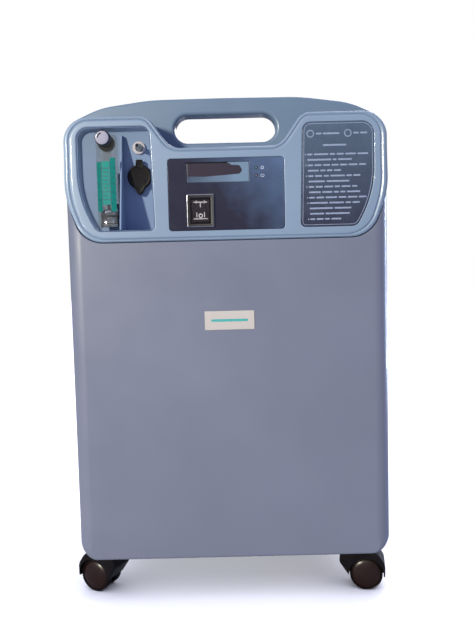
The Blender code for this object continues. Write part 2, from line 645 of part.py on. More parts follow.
def make_gas_parts():
    base = FLOOR_GAP + 0.005 + GAP
    for name, x in (("sieve_bed_l", -0.122), ("sieve_bed_r", 0.122)):
        turned(name, [(0, 0.350), (0.028, 0.347), (0.038, 0.338), (0.038, 0.320), (0.036, 0.318),
                      (0.036, 0.095), (0.038, 0.092), (0.038, base), (0, base)],
               (x, 0.118, 0), ALUMINIUM, steps=20)
    tank = [(0, 0.095), (0.024, 0.091), (0.036, 0.078), (0.036, -0.078), (0.024, -0.091), (0, -0.095)]
    turned("product_tank", tank, (0, 0.108, 0.471), WHITE, "+X", 20)
    coil_z, half = 0.4100, 0.112
    block = [(-half, 0.3503, 0), (half, 0.3503, 0), (half, 0.3900, 0), (0.052, 0.3900, 0), (0.052, coil_z, 0),
             (0.022, coil_z, 0), (0.022, 0.3900, 0), (-0.022, 0.3900, 0), (-0.022, coil_z, 0),
             (-0.052, coil_z, 0), (-0.052, 0.3900, 0), (-half, 0.3900, 0)]
    plate("valve_block", [block], 0.085, 0.125, ALUMINIUM)
    turned("product_filter", [(0, 0.022), (0.004, 0.022), (0.004, 0.012), (0.026, 0.008), (0.026, -0.008),
                              (0.004, -0.012), (0.004, -0.022), (0, -0.022)],
           (-0.082, 0.105, 0.4123), WHITE, steps=16)


def make_board():
    notched = [(-0.075, 0.345, 0.002), (0.075, 0.345, 0.002), (0.075, 0.425, 0.002), (0.055, 0.425, 0),
               (0.055, 0.430, 0), (-0.055, 0.430, 0), (-0.055, 0.425, 0), (-0.075, 0.425, 0.002)]
    back = FACE_Y + COVER_STEP + WALL + GAP
    board = plate("control_board", [notched], back, back + 0.0016, GREEN_BOARD)
    parts = [(-0.060, -0.030, 0.380, 0.410, 0.018), (-0.010, 0.020, 0.360, 0.385, 0.012),
             (0.035, 0.065, 0.355, 0.405, 0.022)]
    for index, (x0, x1, z0, z1, height) in enumerate(parts):
        boolean(board, box(f"board_part_{index}", x0, x1, back + 0.001, back + height, z0, z1), "UNION")


make_front_cover()
make_fascia()
make_rear_cover()
make_base_pan()
make_tub()
make_panel()
make_switch()
make_flowmeter()
make_outlets()
make_casters()
make_rear_fixtures()
make_compressor()
make_cooling()
make_gas_parts()
make_board()
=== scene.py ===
import json
import math

import bmesh
import bpy
from mathutils import Matrix, Vector, geometry

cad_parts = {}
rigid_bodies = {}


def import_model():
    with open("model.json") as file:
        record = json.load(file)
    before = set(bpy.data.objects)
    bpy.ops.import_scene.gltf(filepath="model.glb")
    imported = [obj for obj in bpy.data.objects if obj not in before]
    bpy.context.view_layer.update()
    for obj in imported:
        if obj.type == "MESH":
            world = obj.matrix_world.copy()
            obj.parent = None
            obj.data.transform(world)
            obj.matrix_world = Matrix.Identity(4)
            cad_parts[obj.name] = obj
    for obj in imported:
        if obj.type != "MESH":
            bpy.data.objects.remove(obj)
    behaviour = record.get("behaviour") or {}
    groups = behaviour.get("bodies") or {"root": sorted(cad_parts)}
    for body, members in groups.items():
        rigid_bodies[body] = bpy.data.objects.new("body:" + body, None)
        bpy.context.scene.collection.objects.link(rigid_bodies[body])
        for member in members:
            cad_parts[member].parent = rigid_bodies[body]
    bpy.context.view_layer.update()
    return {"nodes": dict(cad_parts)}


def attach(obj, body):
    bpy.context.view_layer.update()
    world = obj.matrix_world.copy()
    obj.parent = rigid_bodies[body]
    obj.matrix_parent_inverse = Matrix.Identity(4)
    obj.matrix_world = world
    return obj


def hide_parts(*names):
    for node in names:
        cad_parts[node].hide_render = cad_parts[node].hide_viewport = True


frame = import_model()
NODES = frame["nodes"]

# Dimensions shared with the CAD source, in metres
HALF_WIDTH, FLOOR_GAP = 0.1875, 0.053
FACE_Y, SEAM_Y, REAR_Y = -0.178, -0.133, 0.179
COVER_FACE = FACE_Y + 0.0022
WALL, GAP = 0.003, 0.0003
HANDLE_BACK = SEAM_Y + 0.026
BODY_TOP, HANDLE_TOP = 0.545, 0.605
FASCIA_LOW, TOWER_TOP, VALLEY_Z = 0.4363, 0.576, 0.539
TUB_FLOOR_Y, DIVIDER_X = -0.1355, -0.1247
REAR_RIM = 0.016
CASTER_TRAIL, WHEEL_R, HOOD_HALF, WHEEL_INNER, WHEEL_OUTER = 0.021, 0.02, 0.018, 0.0048, 0.0172
CASTERS = {"fl": (-0.152, -0.14, 155.0), "fr": (0.142, -0.14, -10.0), "rl": (-0.142, 0.14, 170.0),
           "rr": (0.152, 0.14, 335.0)}
PANEL = (-0.067, 0.067, 0.4437, 0.5262)
LCD = (-0.0455, 0.0266, 0.4985, 0.5215)
SWITCH = (-0.0461, -0.0147, 0.4476, 0.4852)
PANEL_Y = FACE_Y + 0.0008
FLOW_X, FLOW_FRONT = -0.1415, -0.1555
KNOB_Z, PORT_X, OUTLET_Z, CAP_Z = 0.5528, -0.1045, 0.547, 0.512
VALVE_R, AXLE_BORE, CAP_R = 0.0034, 0.0026, 0.0146
KNOB_FLATS, GRIP_CUT = 72, 0.035        # facets round the knob; every third edge is cut in by this share
TICK_PITCH = 0.0046            # between the ticks of the flow scale
LOUVRE_PITCH = 0.0125          # between the slots of the door and of the exhaust
LENS, PITCH, ROLL = 37.03, 4.1, 1.4     # camera: focal length in millimetres, angles in degrees
ROW_TOP, ROW_PITCH = 527.2, 6.13        # first row of dashes on the label and the step down, in millimetres
RECESS_PIECES = ("recess_", "flowmeter_", "scale_", "flow_fitting", "flow_seal", "float_body", "knob_",
                 "outlet_", "port_socket", "rubber_cap", "cap_plug")
STEPS = 10                     # segments in each rounded corner of an outline


# ---- colours and materials

def srgb(red, green, blue):
    return tuple(((c / 255 + 0.055) / 1.055) ** 2.4 if c > 10 else c / 3294.6 for c in (red, green, blue))


def shade(colour, factor):
    return tuple(min(1.0, c * factor) for c in colour)


def add_node(tree, kind, **inputs):
    """A shader node, with values for the sockets that are named; a space in a name is written _."""
    node = tree.nodes.new("ShaderNode" + kind)
    for socket, value in inputs.items():
        node.inputs[socket.replace("_", " ")].default_value = value
    return node


class Look:
    """A Principled material whose colour, roughness and bump come from noise in object space."""

    def __init__(self, name, colour, rough=0.45, metal=0.0, **sockets):
        self.made = bpy.data.materials.new(name)
        self.made.use_nodes = True
        self.tree = self.made.node_tree
        self.shader = self.tree.nodes["Principled BSDF"]
        self.place = add_node(self.tree, "TexCoord").outputs["Object"]
        self.set("Base Color", (*colour, 1.0))
        self.set("Roughness", rough)
        self.set("Metallic", metal)
        for socket, value in sockets.items():
            self.set(socket.replace("_", " "), value)
        self.normal = None

    def set(self, socket, value):
        self.shader.inputs[socket].default_value = value

    def link(self, source, target):
        self.tree.links.new(source, target)

    def noise(self, scale, detail, stretch=None):
        node = add_node(self.tree, "TexNoise", Scale=scale, Detail=detail)
        source = self.place
        if stretch:
            mapping = add_node(self.tree, "Mapping", Scale=stretch)
            self.link(source, mapping.inputs["Vector"])
            source = mapping.outputs["Vector"]
        self.link(source, node.inputs["Vector"])
        return node.outputs["Fac"]

    def cells(self, scale):
        node = add_node(self.tree, "TexVoronoi", Scale=scale)
        self.link(self.place, node.inputs["Vector"])
        return node.outputs["Distance"]

    def ramp(self, factor, low, high, start, end):
        """start at or below low, end at or above high."""
        node = add_node(self.tree, "MapRange", From_Min=low, From_Max=high, To_Min=start, To_Max=end)
        self.link(factor, node.inputs["Value"])
        return node.outputs["Result"]

    def tint(self, factor, first, second):
        """Base colour from first, a colour or an output, to second as the factor goes from 0 to 1."""
        node = add_node(self.tree, "Mix")
        node.data_type = "RGBA"
        if isinstance(first, tuple):
            node.inputs[6].default_value = (*first, 1.0)
        else:
            self.link(first, node.inputs[6])
        node.inputs[7].default_value = (*second, 1.0)
        self.link(factor, node.inputs[0])
        self.link(node.outputs[2], self.shader.inputs["Base Color"])
        return node.outputs[2]

    def roughness(self, factor, low, high):
        self.link(self.ramp(factor, 0.3, 0.7, low, high), self.shader.inputs["Roughness"])

    def bump(self, factor, strength, distance):
        node = add_node(self.tree, "Bump", Strength=strength, Distance=distance)
        self.link(factor, node.inputs["Height"])
        if self.normal is not None:
            self.link(self.normal, node.inputs["Normal"])
        self.normal = node.outputs["Normal"]
        self.link(self.normal, self.shader.inputs["Normal"])

    def drift(self, factor, colour, low, high, narrow=0.0):
        """The colour drifts between two brightnesses, low and high, of itself."""
        share = self.ramp(factor, 0.3 + narrow, 0.7 - narrow, 0, 1)
        return self.tint(share, shade(colour, low), shade(colour, high))

    def polish(self, rough):
        """Faint dust and handling marks in the gloss."""
        self.roughness(self.noise(60, 5), rough * 0.7, rough * 1.5)
        self.bump(self.noise(30, 2), 0.06, 0.0004)


def moulded(name, colour, rough=0.42, **sockets):
    """Moulded plastic: spark-eroded grain, a slow drift of colour and a few rubbed patches."""
    look = Look(name, colour, rough, **sockets)
    mixed = look.drift(look.noise(7, 2), colour, 0.95, 1.05)
    specks = look.ramp(look.noise(2600, 1), 0.7, 0.78, 0, 0.35)
    look.tint(specks, mixed, shade(colour, 1.25))
    look.roughness(look.noise(24, 4), rough - 0.05, rough + 0.07)
    look.bump(look.noise(1400, 2), 0.25, 0.00012)
    look.bump(look.noise(9, 1), 0.15, 0.0008)
    return look.made


def glossy(name, colour, rough=0.12, drift=0.06, **sockets):
    """Polished plastic or print under lacquer."""
    look = Look(name, colour, rough, **sockets)
    look.drift(look.noise(12, 3), colour, 1 - drift, 1 + drift)
    look.polish(rough)
    return look.made


def painted_sheen_film(name, low, high, start, end, rough):
    """Lacquered film with a painted sheen: its colour lightens from one corner (x, z) of the part to another,
    painted light in place of a reflection.
    """
    look = Look(name, low, rough)
    sheen_jitter = 0.12
    split = add_node(look.tree, "SeparateXYZ")
    look.link(look.place, split.inputs[0])
    start, along = Vector(start), Vector(end) - Vector(start)
    along /= along.length_squared
    behind = -along.dot(start)
    share = look.ramp(look.noise(45, 3), 0.3, 0.7, behind - sheen_jitter, behind + sheen_jitter)
    for axis, gain in zip("XZ", along):
        part = add_node(look.tree, "Math")
        part.operation = "MULTIPLY_ADD"
        part.inputs[1].default_value = gain
        look.link(split.outputs[axis], part.inputs[0])
        look.link(share, part.inputs[2])
        share = part.outputs[0]
    look.tint(look.ramp(share, 0, 1, 0, 1), low, high)
    look.polish(rough)
    return look.made


def rubber(name, colour, rough=0.62):
    look = Look(name, colour, rough, Specular_IOR_Level=0.2)
    look.drift(look.noise(90, 4), colour, 0.75, 1.35, 0.05)
    look.roughness(look.noise(200, 3), rough - 0.12, rough + 0.1)
    look.bump(look.noise(1500, 3), 0.35, 0.0001)
    return look.made


def metal(name, colour, rough=0.25, stretch=None, relief=0.1):
    look = Look(name, colour, rough, 1.0)
    streaks = look.noise(300, 4, stretch)
    look.drift(streaks, colour, 0.85, 1.1)
    look.roughness(streaks, rough * 0.75, rough * 1.35)
    look.bump(streaks, relief, 0.0001)
    return look.made


def cast(name, colour, rough=0.5):
    look = Look(name, colour, rough, 1.0)
    look.drift(look.noise(40, 5), colour, 0.7, 1.1)
    look.roughness(look.noise(180, 4), rough - 0.1, rough + 0.15)
    look.bump(look.cells(900), 0.35, 0.0003)
    return look.made


def foam(name, colour):
    look = Look(name, colour, 0.95)
    # The pores are darkened and the struts between them lightened: painted shade in the pits that the bump
    # cuts.
    pores_and_shade = look.cells(650)
    look.tint(look.ramp(pores_and_shade, 0.1, 0.6, 0, 1), shade(colour, 0.3), shade(colour, 1.8))
    look.bump(pores_and_shade, 1.0, 0.001)
    return look.made


def clear(name, colour, alpha, rough=0.04):
    """Clear plastic shown as a thin tinted film with gloss."""
    look = Look(name, colour, rough, Alpha=alpha, IOR=1.49)
    look.drift(look.noise(40, 2), colour, 0.94, 1.04)
    look.roughness(look.noise(90, 4), rough * 0.6, rough * 2.2)
    return look.made


def printed(name, colour, rough=0.35):
    look = Look(name, colour, rough)
    look.drift(look.noise(400, 3), colour, 0.86, 1.06, 0.05)
    look.bump(look.noise(900, 2), 0.1, 0.00005)
    return look.made


# ---- outlines, as (x, z, corner radius)

def rounded(corners, steps=STEPS):
    """Points of a closed outline; every corner with a radius gets the same number of points."""
    points = []
    count = len(corners)
    for i, (x, z, radius) in enumerate(corners):
        here = Vector((x, z))
        back = (Vector(corners[i - 1][:2]) - here).normalized()
        ahead = (Vector(corners[(i + 1) % count][:2]) - here).normalized()
        turn = math.pi - back.angle(ahead)
        if radius <= 0 or turn < 1e-3:
            points.append(here)
            continue
        tangent = radius * math.tan(turn / 2)
        centre = here + (back + ahead).normalized() * (radius / math.cos(turn / 2))
        start = here + back * tangent - centre
        side = 1 if back.x * ahead.y - back.y * ahead.x < 0 else -1
        for k in range(steps + 1):
            points.append(centre + Matrix.Rotation(side * turn * k / steps, 2) @ start)
    return points


def inset(corners, distance):
    """The same outline moved inwards; corners are listed anticlockwise."""
    shifted = []
    count = len(corners)
    for i, (x, z, radius) in enumerate(corners):
        here = Vector((x, z))
        into = (here - Vector(corners[i - 1][:2])).normalized()
        out = (Vector(corners[(i + 1) % count][:2]) - here).normalized()
        normal_in, normal_out = Vector((-into.y, into.x)), Vector((-out.y, out.x))
        shift = (normal_in + normal_out) * (distance / (1 + normal_in.dot(normal_out)))
        convex = into.x * out.y - into.y * out.x > 0
        kept = max(radius - distance if convex else radius + distance, 0.0002) if radius else 0.0
        shifted.append((x + shift.x, z + shift.y, kept))
    return shifted


def mm(*points):
    """A table given in millimetres, as lengths in metres."""
    return [tuple(value / 1000 for value in point) for point in points]


def mirrored(right_half, apex=()):
    return right_half + list(apex) + [(-x, z, r) for x, z, r in reversed(right_half)]


def flipped(corners):
    return [(-x, z, r) for x, z, r in reversed(corners)]


def rectangle(x0, x1, z0, z1, radius=0.0):
    return [(x0, z0, radius), (x1, z0, radius), (x1, z1, radius), (x0, z1, radius)]


def disc(x, z, radius, sides=48):
    turn = 2 * math.pi / sides
    return [(x + radius * math.cos(k * turn), z + radius * math.sin(k * turn), 0) for k in range(sides)]


ARCH = mirrored([(0.1862, 0.53, 0.0), (0.1862, 0.5805, 0.012), (0.15, 0.5965, 0.1),
                 (0.09, HANDLE_TOP - 0.0006, 0.25)], [(0.0, HANDLE_TOP, 0.8)])
BODY = rectangle(-HALF_WIDTH, HALF_WIDTH, FLOOR_GAP, BODY_TOP, 0.024)
# The fascia's outer edge, and the line of the groove that runs inside it
FASCIA = mirrored([(0.1672, FASCIA_LOW - 0.0041, 0.034), (HALF_WIDTH, 0.485, 0.1), (0.1864, 0.53, 0.0),
                   (0.1862, TOWER_TOP, 0.028), (0.0885, TOWER_TOP, 0.018), (0.0625, VALLEY_Z, 0.022)])
GROOVE = mirrored([(0.1625, FASCIA_LOW - 0.0002, 0.034), (0.1792, 0.486, 0.11), (0.1788, 0.53, 0.0),
                   (0.1786, TOWER_TOP - 0.0042, 0.024), (0.0908, TOWER_TOP - 0.0042, 0.015),
                   (0.0648, VALLEY_Z - 0.0042, 0.026)])
RIGHT_POCKET = mm((85, 445, 6), (150, 445, 10), (170.6, 480.5, 125), (170.5, 564, 14), (88.5, 564, 10))
LEFT_POCKET = flipped([(0.0832, 0.445, 0.006)] + RIGHT_POCKET[1:4] + [(0.0865, 0.564, 0.01)])
SLOT = rectangle(-0.0615, 0.0615, 0.552, 0.585, 0.0164)
COVER = [(-HALF_WIDTH, FLOOR_GAP, 0.021), (HALF_WIDTH, FLOOR_GAP, 0.021), (HALF_WIDTH, 0.515, 0.0),
         (-HALF_WIDTH, 0.515, 0.0)]


# ---- mesh helpers

def place(name, data):
    """An object for a light, the camera or a mesh; a mesh is a pattern or a cutter until it is shown."""
    obj = bpy.data.objects.new(name, data)
    bpy.context.scene.collection.objects.link(obj)
    return obj


def show(obj, matter, body, hides=()):
    obj.data.materials.clear()
    obj.data.materials.append(matter)
    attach(obj, body)
    if hides:
        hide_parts(*hides)
    return obj


def add_piece(name, mesh, matter, slot, swaps=False, body="casing", angle=32):
    """A finished piece; one that swaps takes the place of the CAD node its slot is named after."""
    return show(finish_mesh(place(name, mesh), angle), matter, body, [slot] if swaps else ())


def add_mark(name, mesh, matter, body="casing"):
    """A small flat piece, such as a printed mark."""
    return show(place(name, mesh), matter, body)


def finish_mesh(obj, angle=32):
    """Apply the modifiers, then smooth shading with sharp edges kept, weighted by face area."""
    bake(obj)
    obj.data.shade_smooth()
    obj.data.set_sharp_from_angle(angle=math.radians(angle))
    soft = obj.modifiers.new("weighted", "WEIGHTED_NORMAL")
    soft.keep_sharp = True
    soft.weight = 80
    bake(obj)
    return obj


def bake(obj):
    graph = bpy.context.evaluated_depsgraph_get()
    mesh = bpy.data.meshes.new_from_object(obj.evaluated_get(graph))
    obj.modifiers.clear()
    obj.data = mesh
    return obj


def combine(obj, others, operation="DIFFERENCE"):
    for other in others:
        change = obj.modifiers.new("change", "BOOLEAN")
        change.operation = operation
        change.solver = "EXACT"
        change.object = other
    bake(obj)
    for other in others:
        bpy.data.objects.remove(other)
    return obj


def mesh_from(points, faces):
    mesh = bpy.data.meshes.new("shape")
    mesh.from_pydata([tuple(p) for p in points], [], faces)
    shape = bmesh.new()
    shape.from_mesh(mesh)
    bmesh.ops.remove_doubles(shape, verts=shape.verts, dist=2e-6)
    bmesh.ops.dissolve_degenerate(shape, dist=1e-6, edges=shape.edges)
    bmesh.ops.recalc_face_normals(shape, faces=shape.faces)
    shape.to_mesh(mesh)
    shape.free()
    return mesh


def sweep(rings, holes=()):
    """A closed solid in the XZ plane. rings lists (corners, y) or (points, y) from its back fill, round
    its outside, to its front fill; each hole lists rings from the front fill through to the back fill."""
    points, faces = [], []

    def lay(ring, y):
        flat = ring if isinstance(ring[0], Vector) else rounded(ring)
        start = len(points)
        heights = y if isinstance(y, (list, tuple)) else [y] * len(flat)
        points.extend((p.x, h, p.y) for p, h in zip(flat, heights))
        return list(range(start, start + len(flat)))

    def join(loops):
        for first, second in zip(loops, loops[1:]):
            count = len(first)
            for k in range(count):
                after = (k + 1) % count
                faces.append((first[k], first[after], second[after], second[k]))

    def fill(loops):
        flat = [[Vector((points[i][0], points[i][2], 0)) for i in loop] for loop in loops]
        order = [i for loop in loops for i in loop]
        faces.extend(tuple(order[i] for i in triangle) for triangle in geometry.tessellate_polygon(flat))

    outside = [lay(*ring) for ring in rings]
    join(outside)
    inside = [[lay(*ring) for ring in hole] for hole in holes]
    for loops in inside:
        join(loops)
    fill([outside[-1]] + [loops[0] for loops in inside])
    fill([outside[0]] + [loops[-1] for loops in inside])
    return mesh_from(points, faces)


def rim(corners, y, radius, direction=1, steps=4):
    """Rings that round an edge from the side of an outline onto its face at y. direction 1: the face
    looks to -Y. Listed from the side to the face."""
    rings = []
    for k in range(steps + 1):
        angle = math.pi / 2 * k / steps
        rings.append((inset(corners, radius * (1 - math.cos(angle))),
                      y + direction * radius * (1 - math.sin(angle))))
    return rings


def slab(corners, y_front, y_back, radius=0.0004, holes=(), hole_radius=0.0004):
    """A plate whose front edges and hole edges are rounded."""
    rings = [(corners, y_back)] + rim(corners, y_front, radius)
    return sweep(rings, [rim(hole, y_front, -hole_radius, -1, 3)[::-1] + [(hole, y_back)] for hole in holes])


def lathe(profile, steps=48):
    """Turn a profile of (radius, height) about +Z into a closed solid."""
    points, faces, loops = [], [], []
    for radius, height in profile:
        if radius < 1e-6:
            points.append((0, 0, height))
            loops.append([len(points) - 1] * steps)
            continue
        start = len(points)
        points.extend((radius * math.cos(2 * math.pi * k / steps), radius * math.sin(2 * math.pi * k / steps),
                       height) for k in range(steps))
        loops.append(list(range(start, start + steps)))
    closed = profile[0][0] > 1e-6
    pairs = list(zip(loops, loops[1:])) + ([(loops[-1], loops[0])] if closed else [])
    for first, second in pairs:
        for k in range(steps):
            after = (k + 1) % steps
            quad = (first[k], first[after], second[after], second[k])
            faces.append(tuple(dict.fromkeys(quad)))
    return mesh_from(points, [f for f in faces if len(f) > 2])


def rod(radius, top, low, steps):
    return lathe([(0, top), (radius, top), (radius, low), (0, low)], steps)


TO_FRONT = Matrix.Rotation(math.pi / 2, 4, "X")       # turns +Z to -Y
TO_BACK = Matrix.Rotation(-math.pi / 2, 4, "X")


def moved(mesh, position, turn=Matrix.Identity(4)):
    mesh.transform(Matrix.Translation(position) @ turn)
    return mesh


def block(x0, x1, y0, y1, z0, z1, radius, segments):
    """A box with rounded edges."""
    shape = bmesh.new()
    bmesh.ops.create_cube(shape, size=1)
    shape.transform(Matrix.Translation(((x0 + x1) / 2, (y0 + y1) / 2, (z0 + z1) / 2))
                    @ Matrix.Diagonal((x1 - x0, y1 - y0, z1 - z0, 1)))
    bmesh.ops.bevel(shape, geom=shape.edges, offset=radius, segments=segments, profile=0.5, affect="EDGES")
    mesh = bpy.data.meshes.new("shape")
    shape.to_mesh(mesh)
    shape.free()
    return mesh


def frame_plate(outside, inside, y_front, y_back):
    return sweep([(outside, y_back), (outside, y_front)], [[(inside, y_front), (inside, y_back)]])


def ring_plate(x, z, outer, inner, y_front, y_back):
    return frame_plate(disc(x, z, outer, 40), disc(x, z, inner, 40), y_front, y_back)


# ---- materials

BLUE = (0.184, 0.252, 0.34)
GREY = (0.152, 0.168, 0.225)
FASCIA_LOOK = moulded("fascia_plastic", BLUE, 0.36, Coat_Weight=0.5, Coat_Roughness=0.1)
HANDLE_LOOK = moulded("rear_cover_plastic", (0.118, 0.176, 0.248), 0.38, Coat_Weight=0.25,
                      Coat_Roughness=0.14)
TUB_LOOK = moulded("recess_plastic", srgb(122, 142, 172), 0.4)
COVER_LOOK = moulded("front_cover_plastic", GREY, 0.4, Coat_Weight=0.4, Coat_Roughness=0.1)
# The panel film's colour carries a painted reflection, lighter towards its upper right.
PANEL_LOOK = painted_sheen_film("panel_film", srgb(40, 39, 54), srgb(80, 100, 130), (0.0, 0.47), (0.067, 0.53), 0.16)
# The label film's colour carries painted shading, lighter towards its top and darker lower down.
LABEL_LOOK = painted_sheen_film("label_film", srgb(50, 53, 70), srgb(76, 92, 110), (0.12, 0.45), (0.12, 0.568), 0.22)
BLACK_LOOK = moulded("black_plastic", srgb(26, 22, 22), 0.38)
CASTER_LOOK = glossy("caster_plastic", srgb(12, 6, 6), 0.3, 0.2, Specular_IOR_Level=0.22)
WHEEL_LOOK = glossy("wheel_disc_plastic", srgb(31, 14, 10), 0.3, 0.15, Specular_IOR_Level=0.3)
TYRE_LOOK = rubber("tyre_rubber", srgb(14, 9, 8), 0.5)
RUBBER_LOOK = rubber("cap_rubber", srgb(15, 11, 12), 0.5)
WHITE_LOOK = glossy("white_plastic", srgb(190, 184, 190), 0.3, 0.03)
CHROME_LOOK = metal("chrome", srgb(205, 205, 212), 0.12, relief=0.03)
NICKEL_LOOK = metal("nickel", srgb(190, 186, 176), 0.18)
STEEL_LOOK = metal("turned_steel", srgb(150, 150, 154), 0.3, (1, 1, 40))


# ---- casing

def make_fascia():
    """The control fascia: a thin shell with a bead all round its edge and openings in its face."""
    outer, inner = rounded(FASCIA), rounded(GROOVE)

    def between(share):
        return [p.lerp(q, share) for p, q in zip(outer, inner)]

    bead = [(0.00, 0.01), (0.01, 0.0075), (0.03, 0.0052), (0.08, 0.0036), (0.16, 0.0025), (0.28, 0.0015),
            (0.5, 0.0008), (0.63, 0.0008), (0.76, 0.0011), (0.86, 0.0016), (0.93, 0.0019), (0.98, 0.0018)]
    rings = [(inset(FASCIA, WALL), FACE_Y + WALL + 0.0012), (inset(FASCIA, WALL), SEAM_Y - GAP),
             (FASCIA, SEAM_Y - GAP)]
    rings += [(between(share), FACE_Y + depth) for share, depth in bead]
    rings += [(inset(GROOVE, d), FACE_Y + depth) for d,
              depth in ((0.0004, 0.001), (0.0009, 0.0004), (0.0016, 0.0001), (0.0026, 0.0))]

    def opening(corners, radius):
        return rim(corners, FACE_Y, -radius, -1)[::-1] + [(corners, FACE_Y + WALL + 0.0012)]

    holes = [opening(LEFT_POCKET, 0.0012), opening(rectangle(*PANEL, 0.004), 0.0007),
             opening(RIGHT_POCKET, 0.0008)]
    add_piece("fascia", sweep(rings, holes), FASCIA_LOOK, "control_fascia", True)


def make_front_cover():
    """The lower cover, with broad soft sides and a lip under the fascia's lower edge."""
    side = rounded(COVER, 14)
    count = len(side)
    normals = []
    for k, point in enumerate(side):
        along = side[(k + 1) % count] - side[k - 1]
        normals.append(Vector((-along.y, along.x)).normalized())
    normals = [Vector((math.copysign(1, -p.x), 0)) if p.y > 0.4 else n for p, n in zip(side, normals)]

    def ring(angle):
        points, heights = [], []
        for point, normal in zip(side, normals):
            share = abs(normal.x) ** 1.3
            width, depth = 0.003 + 0.015 * share, 0.003 + 0.012 * share
            points.append(point + normal * (width * (1 - math.cos(angle))))
            heights.append(COVER_FACE + depth * (1 - math.sin(angle)))
        return points, heights

    inner = rectangle(-HALF_WIDTH + WALL, HALF_WIDTH - WALL, FLOOR_GAP + WALL, 0.431, 0.016)
    steps = 12
    rings = [(side, SEAM_Y - GAP)] + [ring(math.pi / 2 * k / steps) for k in range(steps + 1)]
    cover = place("front_cover_shell", sweep(rings))
    lip = mm((1.8, -10), (1.8, 0), (1.2, 0.1), (0.7, 0.4), (0.4, 1), (0.2, 2), (0.1, 50))
    flare = place("fascia_flare", sweep([(inset(FASCIA, -o), COVER_FACE + h) for o, h in reversed(lip)]))
    hollow = place("cover_hollow", sweep([(inner, SEAM_Y + 0.01), (inner, -0.152),
                                          (inset(inner, 0.016), COVER_FACE + WALL)]))
    combine(cover, [flare, hollow])
    show(finish_mesh(cover), COVER_LOOK, "casing", ["front_cover"])


def make_rear_cover():
    """The rear cover: a hollow box, the handle arch with its slot, and openings for the fittings."""
    walls = [(inset(BODY, WALL), REAR_Y - WALL), (inset(BODY, WALL), SEAM_Y), (BODY, SEAM_Y)]
    walls += [(ring, y) for ring, y in rim(BODY, REAR_Y, REAR_RIM, -1, 8)]
    cover = place("rear_cover_shell", sweep(walls))
    edge = rim(ARCH, SEAM_Y, 0.0028, 1, 6)
    back = rim(ARCH, HANDLE_BACK, 0.006, -1, 6)
    slot_front = rim(SLOT, SEAM_Y, -0.0042, -1, 6)[::-1]
    slot_back = [(ring, SEAM_Y + HANDLE_BACK - y) for ring, y in reversed(slot_front)]
    arch = place("handle_arch", sweep(back[::-1] + edge, [slot_front + slot_back]))
    combine(cover, [arch], "UNION")
    fittings = [rectangle(-0.064, 0.064, 0.366, 0.464, 0.002), rectangle(-0.062, 0.062, 0.102, 0.158, 0.002),
                rectangle(0.1015, 0.1285, 0.1015, 0.1205, 0.001), disc(0.115, 0.15, 0.0065)]
    cutters = [place(f"fitting_{k}", sweep([(f, REAR_Y + 0.01), (f, REAR_Y - 0.02)])) for k,
               f in enumerate(fittings)]
    combine(cover, cutters)
    show(finish_mesh(cover), HANDLE_LOOK, "casing", ["rear_cover"])


def make_tub():
    """The recess widens a little towards its floor at the top and on the outer side."""
    rim_line = inset(LEFT_POCKET, GAP)
    shifts = ((0.0, 0.0045), (-0.005, 0.0045), (-0.005, 0.0), (-0.003, 0.0), (0.0, 0.0))
    floor = [(x + dx, z + dz, r) for (x, z, r), (dx, dz) in zip(rim_line, shifts)]
    edge = mm((0, 0.4), (0.3, 0), (0.6, 0), (0.8, 0.4))
    rings = [(inset(floor, -0.0006), TUB_FLOOR_Y + 0.002)]
    rings += [(inset(rim_line, d) if d else rim_line, FACE_Y + 0.0022 + depth) for d, depth in edge]
    rings += rim(inset(floor, 0.0008), TUB_FLOOR_Y, 0.0018, -1)
    add_piece("recess_shell", sweep(rings), TUB_LOOK, "recess_tub", True)
    low, high = 0.4466, 0.5618
    profile = [(TUB_FLOOR_Y + 0.0008, low, 0), (TUB_FLOOR_Y + 0.0008, high, 0),
               (TUB_FLOOR_Y - 0.0045, high, 0.001), (FACE_Y + 0.009, low, 0.001)]
    half, bevel = 0.0013, 0.0007
    fin = sweep([(inset(profile, bevel), half), (profile, half - bevel), (profile, bevel - half),
                 (inset(profile, bevel), -half)])
    fin.transform(Matrix.Translation((DIVIDER_X, 0, 0)) @ Matrix.Rotation(math.pi / 2, 4, "Z"))
    add_piece("recess_divider", fin, TUB_LOOK, "recess_tub")


# ---- control panel and labels

